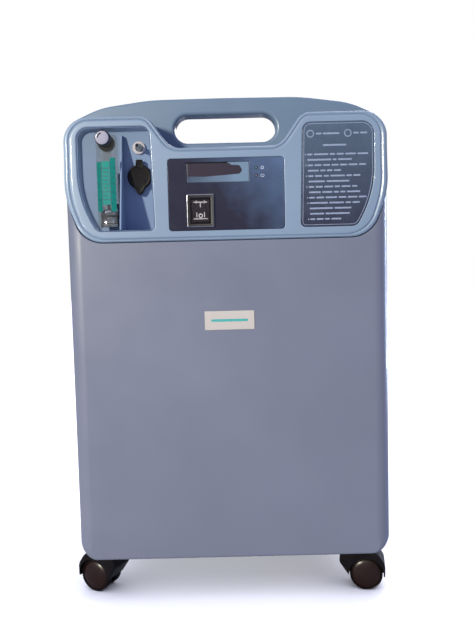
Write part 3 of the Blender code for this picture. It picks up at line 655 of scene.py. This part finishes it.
def make_panel():
    outline = [(x, z, 0.0037) for x, z, _ in inset(rectangle(*PANEL), GAP)]
    x0, x1, z0, z1 = SWITCH
    holes = [rectangle(*LCD, 0.0006), rectangle(x0 + 0.002, x1 - 0.002, z0 + 0.002, z1 - 0.002, 0.001),
             disc(0.035, 0.514, 0.0018, 24), disc(0.035, 0.505, 0.0018, 24)]
    add_piece("panel_film", slab(outline, PANEL_Y, PANEL_Y + 0.0025, 0.0003, holes, 0.0003), PANEL_LOOK,
              "control_panel", True)
    inner = [(x, z, 0.0005) for x, z, _ in inset(rectangle(*LCD), GAP)]
    glass = place("lcd_window", slab(inner, PANEL_Y + 0.0008, PANEL_Y + 0.004, 0.0002))
    # The LCD window's colour carries painted shading, lighter towards its right.
    tint = painted_sheen_film("lcd_film", srgb(60, 68, 84), srgb(108, 130, 150), (-0.048, 0.51), (0.01, 0.504), 0.14)
    show(finish_mesh(glass), tint, "casing", ["lcd_module"])
    left, right, low, high = LCD
    screen = [(left + 0.001, low + 0.0072, 0.001), (left + 0.022, low + 0.0066, 0.03),
              (right - 0.011, low + 0.0092, 0.003), (right - 0.0075, low + 0.0132, 0.0035),
              (right - 0.011, high - 0.004, 0.003), (right - 0.02, high - 0.0036, 0.002),
              (right - 0.0235, high - 0.0012, 0.002), (left + 0.001, high - 0.001, 0.001)]
    add_piece("lcd_screen", slab(screen, PANEL_Y + 0.00062, PANEL_Y + 0.0012, 0.00015),
              glossy("lcd_dark", srgb(54, 47, 56), 0.12), "lcd_module")
    edge = rectangle(left, left + 0.0475, high - 0.0014, high - 0.0001, 0.0002)
    add_mark("lcd_edge", slab(edge, PANEL_Y + 0.0005, PANEL_Y + 0.0012, 0.0001),
             glossy("lcd_edge_black", srgb(18, 16, 20), 0.2))
    mark = printed("panel_mark", srgb(176, 186, 206))
    y = PANEL_Y - 0.00008
    add_mark("panel_mark_ring", ring_plate(0.0418, 0.514, 0.0019, 0.0011, y, PANEL_Y), mark)
    frame_line = rectangle(0.0396, 0.0442, 0.5034, 0.5066, 0.0014)
    mesh = frame_plate(frame_line, inset(frame_line, 0.0006), y, PANEL_Y)
    add_mark("panel_mark_cell", mesh, mark)
    for name, colour in (("led_power", (0.08, 0.13, 0.14)), ("led_alarm", (0.14, 0.11, 0.14))):
        paint(name, glossy(name + "_lens", colour, 0.12))


def make_labels():
    """The dark label film: a thin light border, two plain rings and rows of plain dashes for print."""
    outline = inset(RIGHT_POCKET, GAP)
    add_piece("label_film", slab(outline, FACE_Y + 0.0002, FACE_Y + 0.0014, 0.0003), LABEL_LOOK,
              "label_plate", True)
    front, back = FACE_Y + 0.00012, FACE_Y + 0.0003
    outer, inner = inset(outline, 0.0016), inset(outline, 0.0022)
    border = frame_plate(outer, inner, front, back)
    ink = printed("label_ink", srgb(138, 150, 172))
    add_mark("label_border", border, ink)
    for k, x in enumerate((0.0975, 0.1404)):
        add_mark(f"label_ring_{k}", ring_plate(x, 0.5505, 0.0043, 0.0032, front, back), ink)
    # rows in millimetres: start, height, length, then the share of each dash
    rows = [(103.8, 550.5, 27, (3, 9)), (146.6, 550.5, 16, (3, 4)), (111.5, 537.4, 27, (9,))]
    lengths = (70, 51, 67, 38, 60, 47, 56, 59, 66, 58, 48, 46, 36)
    words = ((3, 8, 3, 4, 6, 6), (12, 2, 7), (3, 4, 4, 4, 4, 5, 4), (6, 3, 3, 4), (3, 4, 3, 8, 3, 4), (8, 11),
             (3, 4, 5, 3, 5, 3), (7, 6, 3, 3, 8), (3, 4, 6, 4, 5, 4), (10, 8, 3, 4), (11, 8), (7, 12),
             (3, 4, 3, 6))
    rows += [(93.5 + 0.2 * k, ROW_TOP - ROW_PITCH * k, length, words[k]) for k, length in enumerate(lengths)]
    strokes = bmesh.new()
    half = 0.00095

    def stamp(corners):
        dash = sweep([(corners, back), (corners, front)])
        strokes.from_mesh(dash)
        bpy.data.meshes.remove(dash)

    for start, height, length, shares in rows:
        x, z = start / 1000, height / 1000
        unit = (length - 1.6 * (len(shares) - 1)) / sum(shares) / 1000
        for share in shares:
            stamp(rounded(rectangle(x, x + share * unit, z - half, z + half, 0.0008), 3))
            x += share * unit + 0.0016
    for k in (0, 2, 4, 6, 8, 9, 12):
        stamp(disc(0.0916 + 0.0002 * k, (ROW_TOP - ROW_PITCH * k) / 1000, 0.0008, 14))
    mesh = bpy.data.meshes.new("label_dashes")
    strokes.to_mesh(mesh)
    strokes.free()
    add_mark("label_dashes", mesh, ink)


def make_sticker():
    face = COVER_FACE - GAP
    outline = rectangle(-0.029, 0.029, 0.328, 0.35, 0.0008)
    add_piece("blank_sticker", slab(outline, face - 0.0006, face, 0.0002),
              glossy("sticker_paper", srgb(186, 180, 172), 0.4, 0.03), "name_plate", True)
    bar = rectangle(-0.0215, 0.0215, 0.3375, 0.3405, 0.0014)
    add_mark("sticker_bar", slab(bar, face - 0.00068, face - 0.0005, 0.00005),
             printed("sticker_teal", srgb(70, 165, 160), 0.4))


def make_switch():
    x0, x1, z0, z1 = SWITCH
    outline = rectangle(x0, x1, z0, z1, 0.0012)
    well = inset(outline, 0.0012)
    front = PANEL_Y - 0.0025
    edge = [(inset(well, -0.0003), front), (well, front + 0.0003), (well, PANEL_Y + 0.016)]
    rings = [(inset(outline, 0.0024), PANEL_Y + 0.02), (inset(outline, 0.0024), PANEL_Y - GAP),
             (outline, PANEL_Y - GAP)] + rim(outline, front, 0.0007)
    add_piece("switch_bezel", sweep(rings, [edge]),
              metal("switch_bezel_metal", srgb(170, 170, 178), 0.2, (1, 30, 30)), "switch_frame", True)
    sleeve_out, sleeve_in = inset(outline, 0.0013), inset(outline, 0.0037)
    add_piece("switch_sleeve", sweep([(sleeve_out, PANEL_Y + 0.015), (sleeve_out, front + 0.0008)],
                                     [[(sleeve_in, front + 0.0012), (sleeve_in, PANEL_Y + 0.015)]]),
              BLACK_LOOK, "switch_frame")
    make_rocker(Vector(((x0 + x1) / 2, PANEL_Y + 0.003, (z0 + z1) / 2)))
    edge_line = inset(outline, 0.0004)
    inner = inset(edge_line, 0.001)
    y = -REAR_Y - 0.0033
    add_piece("switch_hood", sweep([(inner, y + 0.0009), (inner, PANEL_Y - 0.0028),
                                    (edge_line, PANEL_Y - 0.0028)] + rim(edge_line, y, 0.0008)),
              clear("switch_hood_clear", srgb(90, 84, 92), 0.05), "switch_dust_cover", True)


def make_rocker(pivot):
    """The rocker's cross-section in (y, z), drawn level and then tilted as it stands at rest."""
    half_width, half_height, crown = 0.0106, 0.0136, -0.0012
    tilt = math.radians(8)
    rise = half_height * math.tan(tilt)
    section = [(0.006, -0.01, 0.001), (0.006, 0.01, 0.001), (crown - rise, half_height, 0.001),
               (crown, 0.0, 0.012), (crown - rise, -half_height, 0.001)]
    soft = 0.0007
    rings = [(inset(section, soft), half_width), (section, half_width - soft), (section, soft - half_width),
             (inset(section, soft), -half_width)]
    mesh = sweep(rings[::-1])
    stand = Matrix.Translation(pivot) @ Matrix.Rotation(tilt, 4, "X") @ Matrix.Rotation(math.pi / 2, 4, "Z")
    mesh.transform(stand)
    add_piece("rocker", mesh, glossy("rocker_plastic", srgb(24, 17, 17), 0.22), "power_rocker", True,
              body="power_rocker")
    ink = printed("rocker_mark", srgb(214, 206, 206))
    marks = {"top": (-8, 8, 9.8, 10.7, 0.4), "stem": (-0.5, 0.5, 4.2, 9.6, 0.4),
             "tick_a": (-4.9, -4.1, 8.6, 12.2, 0.3), "tick_b": (4.1, 4.9, 8.6, 12.2, 0.3),
             "side_a": (-4.8, -4, -7.2, -1.4, 0.3), "side_b": (4, 4.8, -7.2, -1.4, 0.3),
             "low": (-8.2, 8.2, -9.2, -8.4, 0.3)}
    for name, sides in marks.items():
        corners = rectangle(*mm(sides)[0])
        lay_mark(name, [(corners, 0.0002), (corners, -0.0002)], (), crown, rise / half_height, pivot, tilt,
                 ink)
    outer, inner = disc(0, -0.0053, 0.0025, 28), disc(0, -0.0053, 0.0015, 28)
    lay_mark("ring", [(outer, 0.0002), (outer, -0.0002)], [[(inner, -0.0002), (inner, 0.0002)]], crown,
             rise / half_height, pivot, tilt, ink)


def lay_mark(name, rings, holes, crown, slope, pivot, tilt, ink):
    """A printed mark on the rocker's V-shaped face: each point follows the face it lies on."""
    mesh = sweep(rings, holes)
    for vertex in mesh.vertices:
        vertex.co.y += crown - abs(vertex.co.z) * slope - 0.00012
    mesh.transform(Matrix.Translation(pivot) @ Matrix.Rotation(tilt, 4, "X"))
    add_mark("rocker_mark_" + name, mesh, ink, body="power_rocker")


# ---- flowmeter and outlets

WIDEN = Matrix.Diagonal((1.24, 1, 1, 1))        # the base fills the width of the block


def make_flowmeter():
    back = TUB_FLOOR_Y - GAP
    middle = (FLOW_FRONT + back) / 2
    low, high = 0.452, 0.56
    half = 0.0118
    shell = block(FLOW_X - half, FLOW_X + half, FLOW_FRONT, back, low, high, 0.0012, 4)
    acrylic = place("flowmeter_block", shell)
    bore = lathe(mm((0, 542), (5, 542), (4, 475), (0, 475)), 40)
    well = rod(0.0086, 0.477, 0.437, 48)
    well.transform(WIDEN)
    valve = rod(VALVE_R, 0.01, -0.01, 32)
    combine(acrylic, [place("bore", moved(bore, (FLOW_X, middle, 0))),
                      place("well", moved(well, (FLOW_X, middle, 0))),
                      place("valve", moved(valve, (FLOW_X, FLOW_FRONT, KNOB_Z), TO_FRONT))])
    show(finish_mesh(acrylic), clear("acrylic", srgb(112, 112, 108), 0.2, 0.03), "casing",
         ["flowmeter_body"])
    front = FLOW_FRONT - 0.0003
    teal = printed("scale_teal", srgb(3, 122, 112), 0.25)
    pale = clear("scale_pale", srgb(48, 156, 142), 0.82, 0.2)
    grey = printed("scale_grey", srgb(88, 98, 106), 0.3)
    ink = printed("scale_dot_ink", srgb(18, 92, 84))
    bands = [("scale_left", -0.011, -0.0056, 0.47, 0.528, teal),
             ("scale_right", 0.0046, 0.011, 0.47, 0.533, teal),
             ("scale_middle", -0.0055, 0.0045, 0.478, 0.529, pale)]

    def layer(name, x0, x1, z0, z1, matter, lift=0.0001, depth=0.0003):
        mesh = block(FLOW_X + x0, FLOW_X + x1, front - lift, front - lift + depth, z0, z1, 0.0001, 1)
        add_mark(name, mesh, matter)

    for band in bands:
        layer(*band, 0.0, 0.0004)
    for side, x in (("left", -0.0056), ("right", 0.0044)):
        layer(f"scale_line_{side}", x - 0.0003, x + 0.0003, 0.476, 0.529, grey)
    for k in range(9):
        z, long = 0.484 + TICK_PITCH * k, k % 2 == 0
        x0, x1 = (-0.0056, 0.0044) if long else (-0.0044, 0.003)
        layer(f"scale_tick_{k}", x0, x1, z - 0.0004, z + 0.0004, grey)
        for side, x in (("a", -0.009), ("b", 0.0082)) if long else ():
            layer(f"scale_dot_{k}_{side}", x - 0.0007, x + 0.0007, z - 0.001, z + 0.001, ink, 0.0002, 0.0005)
    plug = mm((0, 477.5), (1.4, 477.2), (1.8, 475.6), (3, 474.2), (6, 473.2), (7.8, 471.2), (8.3, 469),
              (8, 466.4), (6.6, 465.8), (6.6, 464.2), (8, 463.4), (7.4, 460), (8, 457), (8.3, 455.6),
              (8.3, 452), (0, 452))
    fitting = lathe(plug, 48)
    fitting.transform(WIDEN)
    add_piece("flow_fitting", moved(fitting, (FLOW_X, middle, 0)), CHROME_LOOK, "flow_plug", True)
    for k, (height, thick) in enumerate(((0.465, 0.0013), (0.4564, 0.0008))):
        seal = lathe([(0.007 + 0.0015 * math.cos(a), height + thick * math.sin(a))
                      for a in (2 * math.pi * n / 14 for n in range(14))], 48)
        seal.transform(WIDEN)
        add_piece(f"flow_seal_{k}", moved(seal, (FLOW_X, middle, 0)), RUBBER_LOOK, "flow_plug")
    # A black valve collar, set below and to the right of the knob's axis: partly the real valve body, partly
    # a painted shadow of the knob.
    collar = lathe([(VALVE_R, 0.0003), (0.0096, 0.0003), (0.0098, 0.0), (0.0098, -0.008), (VALVE_R, -0.008)],
                   48)
    add_piece("flowmeter_valve", moved(collar, (FLOW_X + 0.0006, FLOW_FRONT, KNOB_Z - 0.0022), TO_FRONT),
              BLACK_LOOK, "flowmeter_body")
    ball = mm((0, 10), (1.2, 9.8), (2.8, 9), (3.1, 7.8), (2.6, 6.4), (1.7, 4.4), (1.2, 1.2), (0, 0))
    add_piece("float_body", moved(lathe(ball, 32), (FLOW_X, middle, 0.476)),
              glossy("float_plastic", srgb(66, 22, 34), 0.25), "flow_float", True, body="flow_float")
    make_knob()


def make_knob():
    """Black knurled knob with a white cap that carries a curved pointer."""
    grip = mm((0, 17.6), (6, 17.6), (7.8, 17.2), (8.8, 16), (9, 14), (9, 4.6), (8.4, 2), (6, 0.6), (3, 0.6),
              (3, -8), (0, -8))
    mesh = lathe(grip, KNOB_FLATS)
    for vertex in mesh.vertices:
        radius = math.hypot(vertex.co.x, vertex.co.y)
        if radius > 0.0086 and vertex.co.z < 0.0165:
            edge = round(math.atan2(vertex.co.y, vertex.co.x) / (2 * math.pi / KNOB_FLATS))
            ridge = 1 - GRIP_CUT * (edge % 3 == 0)
            vertex.co.x *= ridge
            vertex.co.y *= ridge
    place_at = (FLOW_X, FLOW_FRONT, KNOB_Z)
    add_piece("knob_grip", moved(mesh, place_at, TO_FRONT), BLACK_LOOK, "flow_knob", True, body="flow_knob")
    cap = mm((0, 19), (6.2, 18.9), (7.3, 18.5), (7.8, 17.8), (7.8, 16.8), (0, 16.8))
    add_piece("knob_cap", moved(lathe(cap, 56), place_at, TO_FRONT),
              glossy("knob_cap_plastic", srgb(168, 166, 178), 0.28, 0.03), "flow_knob", body="flow_knob")
    arc = []
    for side, radius in ((1, 0.0058), (-1, 0.0043)):
        for k in range(9):
            angle = math.radians(100 + 80 * (k if side > 0 else 8 - k) / 8)
            arc.append((radius * math.cos(angle), radius * math.sin(angle), 0))
    pointer = sweep([(arc, -0.0188), (arc, -0.019)])
    add_mark("knob_pointer", moved(pointer, place_at), printed("knob_pointer_ink", srgb(24, 24, 34)),
             body="flow_knob")


def make_outlets():
    floor = TUB_FLOOR_Y - GAP
    outlet, port = (PORT_X, floor, OUTLET_Z), (PORT_X, floor, CAP_Z)
    collar = mm((4.6, 1.9), (5.2, 2), (7, 1.9), (7.7, 1.3), (7.8, 0.6), (7.8, 0), (4.6, 0))
    add_piece("outlet_collar", moved(lathe(collar), outlet, TO_FRONT), WHITE_LOOK, "outlet_ring", True)
    barb = mm((1.6, 17), (2.1, 17), (2.4, 16.4), (3.1, 12.6), (3.1, 12.2), (2.4, 12), (3.1, 8.6), (3.1, 8.2),
              (2.5, 8), (3, 5), (4, 4.2), (4.2, 3.6), (4.2, -1.8), (1.6, -1.8))
    add_piece("outlet_barb", moved(lathe(barb, 40), outlet, TO_FRONT), NICKEL_LOOK, "outlet_nipple", True)
    # A black rod that fills the nipple's bore: painted shade for the dark inside the hole.
    add_piece("outlet_bore", moved(rod(0.00155, 0.015, -0.0015, 24), outlet, TO_FRONT), BLACK_LOOK,
              "outlet_nipple")
    socket = mm((4.6, 1.2), (8.6, 1.2), (9, 0.8), (9, 0), (5.8, 0), (5.8, -10), (4.6, -10))
    add_piece("port_socket", moved(lathe(socket), port, TO_FRONT), WHITE_LOOK, "nebulizer_port", True)
    make_cap(floor - 0.0016)


def make_cap(back):
    """A rubber cap on a living hinge, with a pointed tab below."""
    left = [(CAP_R * math.cos(a), CAP_R * math.sin(a), 0)
            for a in (math.radians(108 + 134 * k / 24) for k in range(25))]
    left += mm((-5.8, -14.4, 0), (-4.6, -16.4, 0), (-3.3, -18.6, 0), (-2.3, -20.2, 0), (-1, -21.1, 0))
    neck = mm((4.2, 15.2, 0), (4, 17.2, 0), (4, 19, 0), (3.4, 20.3, 0), (2, 20.5, 0))
    line = mirrored(left) + mirrored(neck)

    def shrunk(distance):
        return [(x * (1 - distance / 0.016), z * (1 - distance / 0.019), 0) for x, z, _ in line]

    rings = [(shrunk(0.0006), back), (line, back - 0.0007), (line, back - 0.0028),
             (shrunk(0.0004), back - 0.0036), (shrunk(0.0014), back - 0.004), (shrunk(0.003), back - 0.0039),
             (shrunk(0.0042), back - 0.0034)]
    mesh = sweep(rings)
    add_piece("rubber_cap", moved(mesh, (PORT_X, 0, CAP_Z)), RUBBER_LOOK, "port_cap", True, body="port_cap",
              angle=50)
    spigot = lathe(mm((0, 0.2), (3.6, 0.2), (3.6, -2.4), (3, -3), (0, -3)), 32)
    add_piece("cap_plug", moved(spigot, (PORT_X, back, CAP_Z), TO_FRONT), RUBBER_LOOK, "port_cap",
              body="port_cap")


# ---- casters

def make_casters():
    trail = CASTER_TRAIL
    top = FLOOR_GAP - GAP
    side = [(-0.012, 0.035, 0.008), (0.002, 0.015, 0.004), (trail, 0.015, 0.0), (0.0438, 0.018, 0.0015),
            (0.044, 0.033, 0.014), (0.034, 0.0475, 0.014), (0.012, top, 0.004), (-0.0085, top, 0.003)]
    faces = rim(side, HOOD_HALF, 0.0026, -1)[::-1]
    hood = place("hood_pattern", sweep(faces + [(ring, -y) for ring, y in reversed(faces)]))
    stem = rod(0.005, 0.0044, -0.0044, 32)
    combine(hood, [place("hood_stem", moved(stem, (0, 0, top)))], "UNION")
    wells = []
    for sign in (-1, 1):
        well = rod(WHEEL_R + 0.0012, 0.01, -0.01, 64)
        wells.append(place(f"well_{sign}", moved(well, (trail, sign * 0.0142, WHEEL_R), TO_FRONT)))
    axle_hole = rod(AXLE_BORE, 0.015, -0.015, 32)
    combine(hood, wells + [place("axle_hole", moved(axle_hole, (trail, 0, WHEEL_R), TO_FRONT))])
    finish_mesh(hood)
    axle = lathe(mm((0, 13), (1.8, 13), (2.2, 12.6), (2.2, -12.6), (1.8, -13), (0, -13)), 24)
    width = WHEEL_OUTER - WHEEL_INNER
    disc_profile = [(0, width - 0.0004), (0.007, width - 0.0007), (0.013, width - 0.0015),
                    (0.0166, width - 0.0027), (0.0176, width - 0.0038), (0.0176, 0.0006), (AXLE_BORE, 0.0006),
                    (AXLE_BORE, 0.0088), (0, 0.0088)]
    tread = [(0.0178, width - 0.0036), (0.0182, width - 0.0025), (0.0188, width - 0.0022),
             (0.0196, width - 0.0028), (WHEEL_R, width - 0.0044), (WHEEL_R, 0.0016), (0.0196, 0.0004),
             (0.0188, 0.0), (0.0178, 0.0)]
    for label, (x, y, turned) in CASTERS.items():
        stand = Matrix.Translation((x, y, 0)) @ Matrix.Rotation(math.radians(turned), 4, "Z")
        body = f"caster_{label}"
        piece = place(body + "_cover", hood.data.copy())
        piece.data.transform(stand)
        show(piece, CASTER_LOOK, body, [body + "_hood"])
        pin = axle.copy()
        pin.transform(stand @ Matrix.Translation((trail, 0, WHEEL_R)) @ TO_FRONT)
        add_piece(body + "_pin", pin, STEEL_LOOK, body + "_axle", True, body=body)
        for end, turn, inner in (("a", TO_FRONT, -WHEEL_INNER), ("b", TO_BACK, WHEEL_INNER)):
            spot = stand @ Matrix.Translation((trail, inner, WHEEL_R)) @ turn
            wheel = f"{body}_wheel_{end}"
            for part, profile, look in (("disc", disc_profile, WHEEL_LOOK), ("tyre", tread, TYRE_LOOK)):
                mesh = lathe(profile, 72)
                mesh.transform(spot)
                piece = finish_mesh(place(f"{wheel}_{part}", mesh))
                show(piece, look, wheel, [wheel] if part == "disc" else ())
    bpy.data.objects.remove(hood)


# ---- back and inside

def paint(node, matter):
    obj = NODES[node]
    obj.data.materials.clear()
    obj.data.materials.append(matter)


def make_back():
    outside = REAR_Y + GAP
    louvres = [rectangle(-0.055, 0.055, 0.377 + LOUVRE_PITCH * k, 0.383 + LOUVRE_PITCH * k, 0.0025)
               for k in range(7)]
    door = back_plate("intake_door", rectangle(-0.07, 0.07, 0.36, 0.47, 0.005), outside, 0.003, louvres)
    show(door, HANDLE_LOOK, "filter_door", ["filter_door"])
    slats = [rectangle(-0.057 + LOUVRE_PITCH * k, -0.05 + LOUVRE_PITCH * k, 0.108, 0.152, 0.003)
             for k in range(9)]
    grille = back_plate("exhaust_plate", rectangle(-0.068, 0.068, 0.096, 0.164, 0.004), outside, 0.0022,
                        slats)
    show(grille, BLACK_LOOK, "casing", ["exhaust_grille"])
    for k, (x, z) in enumerate(((0.1085, 0.111), (0.115, 0.114), (0.1215, 0.111))):
        blade = block(x - 0.0006, x + 0.0006, REAR_Y - 0.0145, REAR_Y - 0.003, z - 0.002, z + 0.002, 0.0003,
                      2)
        add_mark(f"inlet_blade_{k}", blade, NICKEL_LOOK)
    spots = [(x, z) for z in (0.075, 0.21, 0.33, 0.515) for x in (-0.165, 0.165)]
    for k, (x, z) in enumerate(spots):
        head = lathe(mm((0, 0.6), (1.2, 0.6), (1.4, 1.4), (3, 1.2), (4, 0.2), (4, -1), (0, -1)), 28)
        add_piece(f"screw_{k}", moved(head, (x, REAR_Y, z), TO_BACK), STEEL_LOOK, "rear_cover")


def back_plate(name, outline, y, thickness, holes):
    """A plate on the back wall: its rounded side looks to +Y."""
    mesh = slab(flipped(outline), -y - thickness, -y, 0.0008, [flipped(h) for h in holes], 0.0006)
    mesh.transform(Matrix.Rotation(math.pi, 4, "Z"))
    return finish_mesh(place(name, mesh))


def paint_inside():
    aluminium = cast("cast_aluminium", srgb(168, 170, 174))
    steel = metal("motor_steel", srgb(120, 124, 128), 0.35, (1, 40, 1))
    copper = metal("copper_tube", srgb(196, 120, 82), 0.3)
    black = moulded("fan_plastic", srgb(30, 30, 32), 0.4)
    white = moulded("tank_plastic", srgb(214, 214, 208), 0.4)
    dampers = rubber("damper_rubber", srgb(30, 28, 28))
    for names, look in (
            ("compressor_crankcase compressor_head_l compressor_head_r valve_block", aluminium),
            ("sieve_bed_l sieve_bed_r", metal("canister_aluminium", srgb(176, 178, 182), 0.35, (1, 1, 0.1))),
            ("compressor_motor", steel), ("cooling_coil", copper), ("fan_frame fan_rotor", black),
            ("product_tank product_filter", white),
            ("compressor_mount_fl compressor_mount_fr compressor_mount_rl compressor_mount_rr", dampers),
            ("filter_foam", foam("intake_foam", srgb(50, 50, 54))),
            ("base_pan", moulded("pan_plastic", srgb(64, 64, 72), 0.5)),
            ("power_inlet breaker_button", BLACK_LOOK),
            ("control_board", glossy("board_green", srgb(34, 96, 62), 0.35))):
        for name in names.split():
            paint(name, look)


# ---- stage

def make_stage():
    floor = place("studio_floor", lathe([(0, 0.0), (3.0, 0.0), (9.0, 0.0), (9.0, -0.02), (0, -0.02)], 96))
    look = Look("studio_floor_paint", (0.9, 0.9, 0.91), 0.7)
    look.roughness(look.noise(3, 2), 0.62, 0.78)
    dim = add_node(look.tree, "BsdfDiffuse", Color=(0.26, 0.27, 0.3, 1))
    ray = add_node(look.tree, "LightPath")
    choice = add_node(look.tree, "MixShader")
    look.link(ray.outputs["Is Camera Ray"], choice.inputs[0])
    look.link(dim.outputs[0], choice.inputs[1])
    look.link(look.shader.outputs[0], choice.inputs[2])
    look.link(choice.outputs[0], look.tree.nodes["Material Output"].inputs["Surface"])
    floor.data.materials.append(look.made)
    world = bpy.data.worlds.new("studio")
    bpy.context.scene.world = world
    world.use_nodes = True
    tree = world.node_tree
    link = tree.links.new
    ambient = tree.nodes["Background"]
    ambient.inputs["Color"].default_value = (0.42, 0.46, 1.08, 1)
    ambient.inputs["Strength"].default_value = 0.5
    white = add_node(tree, "Background", Color=(1, 1, 1, 1))
    sky = add_node(tree, "Background", Color=(0.72, 0.82, 1.0, 1))
    rise = add_node(tree, "MapRange", From_Min=0.0, From_Max=0.6, To_Min=0.12, To_Max=1.1)
    height = add_node(tree, "SeparateXYZ")
    link(add_node(tree, "TexCoord").outputs["Generated"], height.inputs[0])
    link(height.outputs["Z"], rise.inputs["Value"])
    link(rise.outputs["Result"], sky.inputs["Strength"])
    seen = add_node(tree, "LightPath")
    last = ambient.outputs[0]
    for ray, other in (("Is Glossy Ray", sky), ("Is Camera Ray", white)):
        mix = add_node(tree, "MixShader")
        link(seen.outputs[ray], mix.inputs[0])
        link(last, mix.inputs[1])
        link(other.outputs[0], mix.inputs[2])
        last = mix.outputs[0]
    link(last, tree.nodes["World Output"].inputs["Surface"])


def lamp(name, position, target, size, power, colour=(1, 1, 1)):
    data = bpy.data.lights.new(name, "AREA")
    data.shape = "RECTANGLE"
    data.size, data.size_y = size
    data.energy = power
    data.color = colour
    obj = place(name, data)
    obj.location = position
    obj.rotation_euler = (Vector(target) - Vector(position)).to_track_quat("-Z", "Y").to_euler()
    return obj


def make_lights():
    """A frontal key for the outside, one of its own for the outlet recess, and one for the floor."""
    recess = [obj for obj in bpy.data.objects if obj.name.startswith(RECESS_PIECES)]
    floor = [bpy.data.objects["studio_floor"]]
    front = Vector((0.0, 0.0, 0.33))
    key = lamp("key", (-1.65, -2.6, 1.1), front, (0.4, 0.4), 112, (1.0, 0.96, 0.8))
    restrict(key, "key_receivers", recess + floor, "EXCLUDE")
    bay = Vector((-0.13, -0.15, 0.51))
    inner = lamp("recess_key", bay + Vector((-2.02, -1.9, 1.04)), bay, (0.14, 0.14), 120, (1.0, 0.95, 0.78))
    restrict(inner, "recess_receivers", recess)
    shadows_from(inner, "recess_blockers",
                 [obj for obj in recess if not obj.name.startswith(("recess_shell", "flowmeter_", "knob_"))])
    lamp("fill", (1.6, -1.8, 0.9), front, (1.4, 1.4), 1.2, (0.75, 0.85, 1.0))
    lamp("back", (0.6, 1.9, 1.5), front, (1.2, 1.2), 22, (0.95, 0.97, 1.0))
    rim_light = lamp("rim", (1.65, 0.6, 0.25), (0.19, -0.16, 0.25), (0.16, 0.9), 26, (0.62, 0.74, 1.0))
    glint = lamp("glint", (-1.0, -0.45, 0.12), (-0.18, -0.17, 0.46), (0.5, 0.16), 4)
    restrict(glint, "glint_receivers", [bpy.data.objects["fascia"]])
    restrict(rim_light, "rim_receivers", [bpy.data.objects["front_cover_shell"]])
    data = bpy.data.lights.new("floor_wash", "SUN")
    data.energy, data.angle = 4.4, math.radians(110)
    wash = place("floor_wash", data)
    restrict(wash, "floor_receivers", floor)
    shadows_from(wash, "floor_blockers", [obj for obj in bpy.data.objects if obj.name.startswith("caster_")
                                          and obj.name.endswith(("_cover", "_disc", "_tyre"))])


def group(name, objects):
    made = bpy.data.collections.new(name)
    for obj in objects:
        made.objects.link(obj)
    return made


def restrict(light, name, objects, state="INCLUDE"):
    lit = light.light_linking.receiver_collection = group(name, objects)
    for member in lit.collection_objects:
        member.light_linking.link_state = state


def shadows_from(light, name, objects):
    light.light_linking.blocker_collection = group(name, objects)


def make_camera():
    data = bpy.data.cameras.new("camera")
    data.lens, data.sensor_width = LENS, 36.0
    camera = place("camera", data)
    pitch, roll = math.radians(PITCH), math.radians(ROLL)
    turn = Matrix.Rotation(math.pi / 2 - pitch, 4, "X") @ Matrix.Rotation(-roll, 4, "Z")
    camera.matrix_world = Matrix.Translation((0.0087, FACE_Y - 0.7555, 0.398)) @ turn
    bpy.context.scene.camera = camera


for make in (make_camera, make_stage, make_fascia, make_front_cover, make_rear_cover, make_tub, make_panel,
             make_labels, make_sticker, make_switch, make_flowmeter, make_outlets, make_casters, make_back,
             paint_inside, make_lights):
    make()
bpy.context.scene.view_settings.view_transform = "Standard"
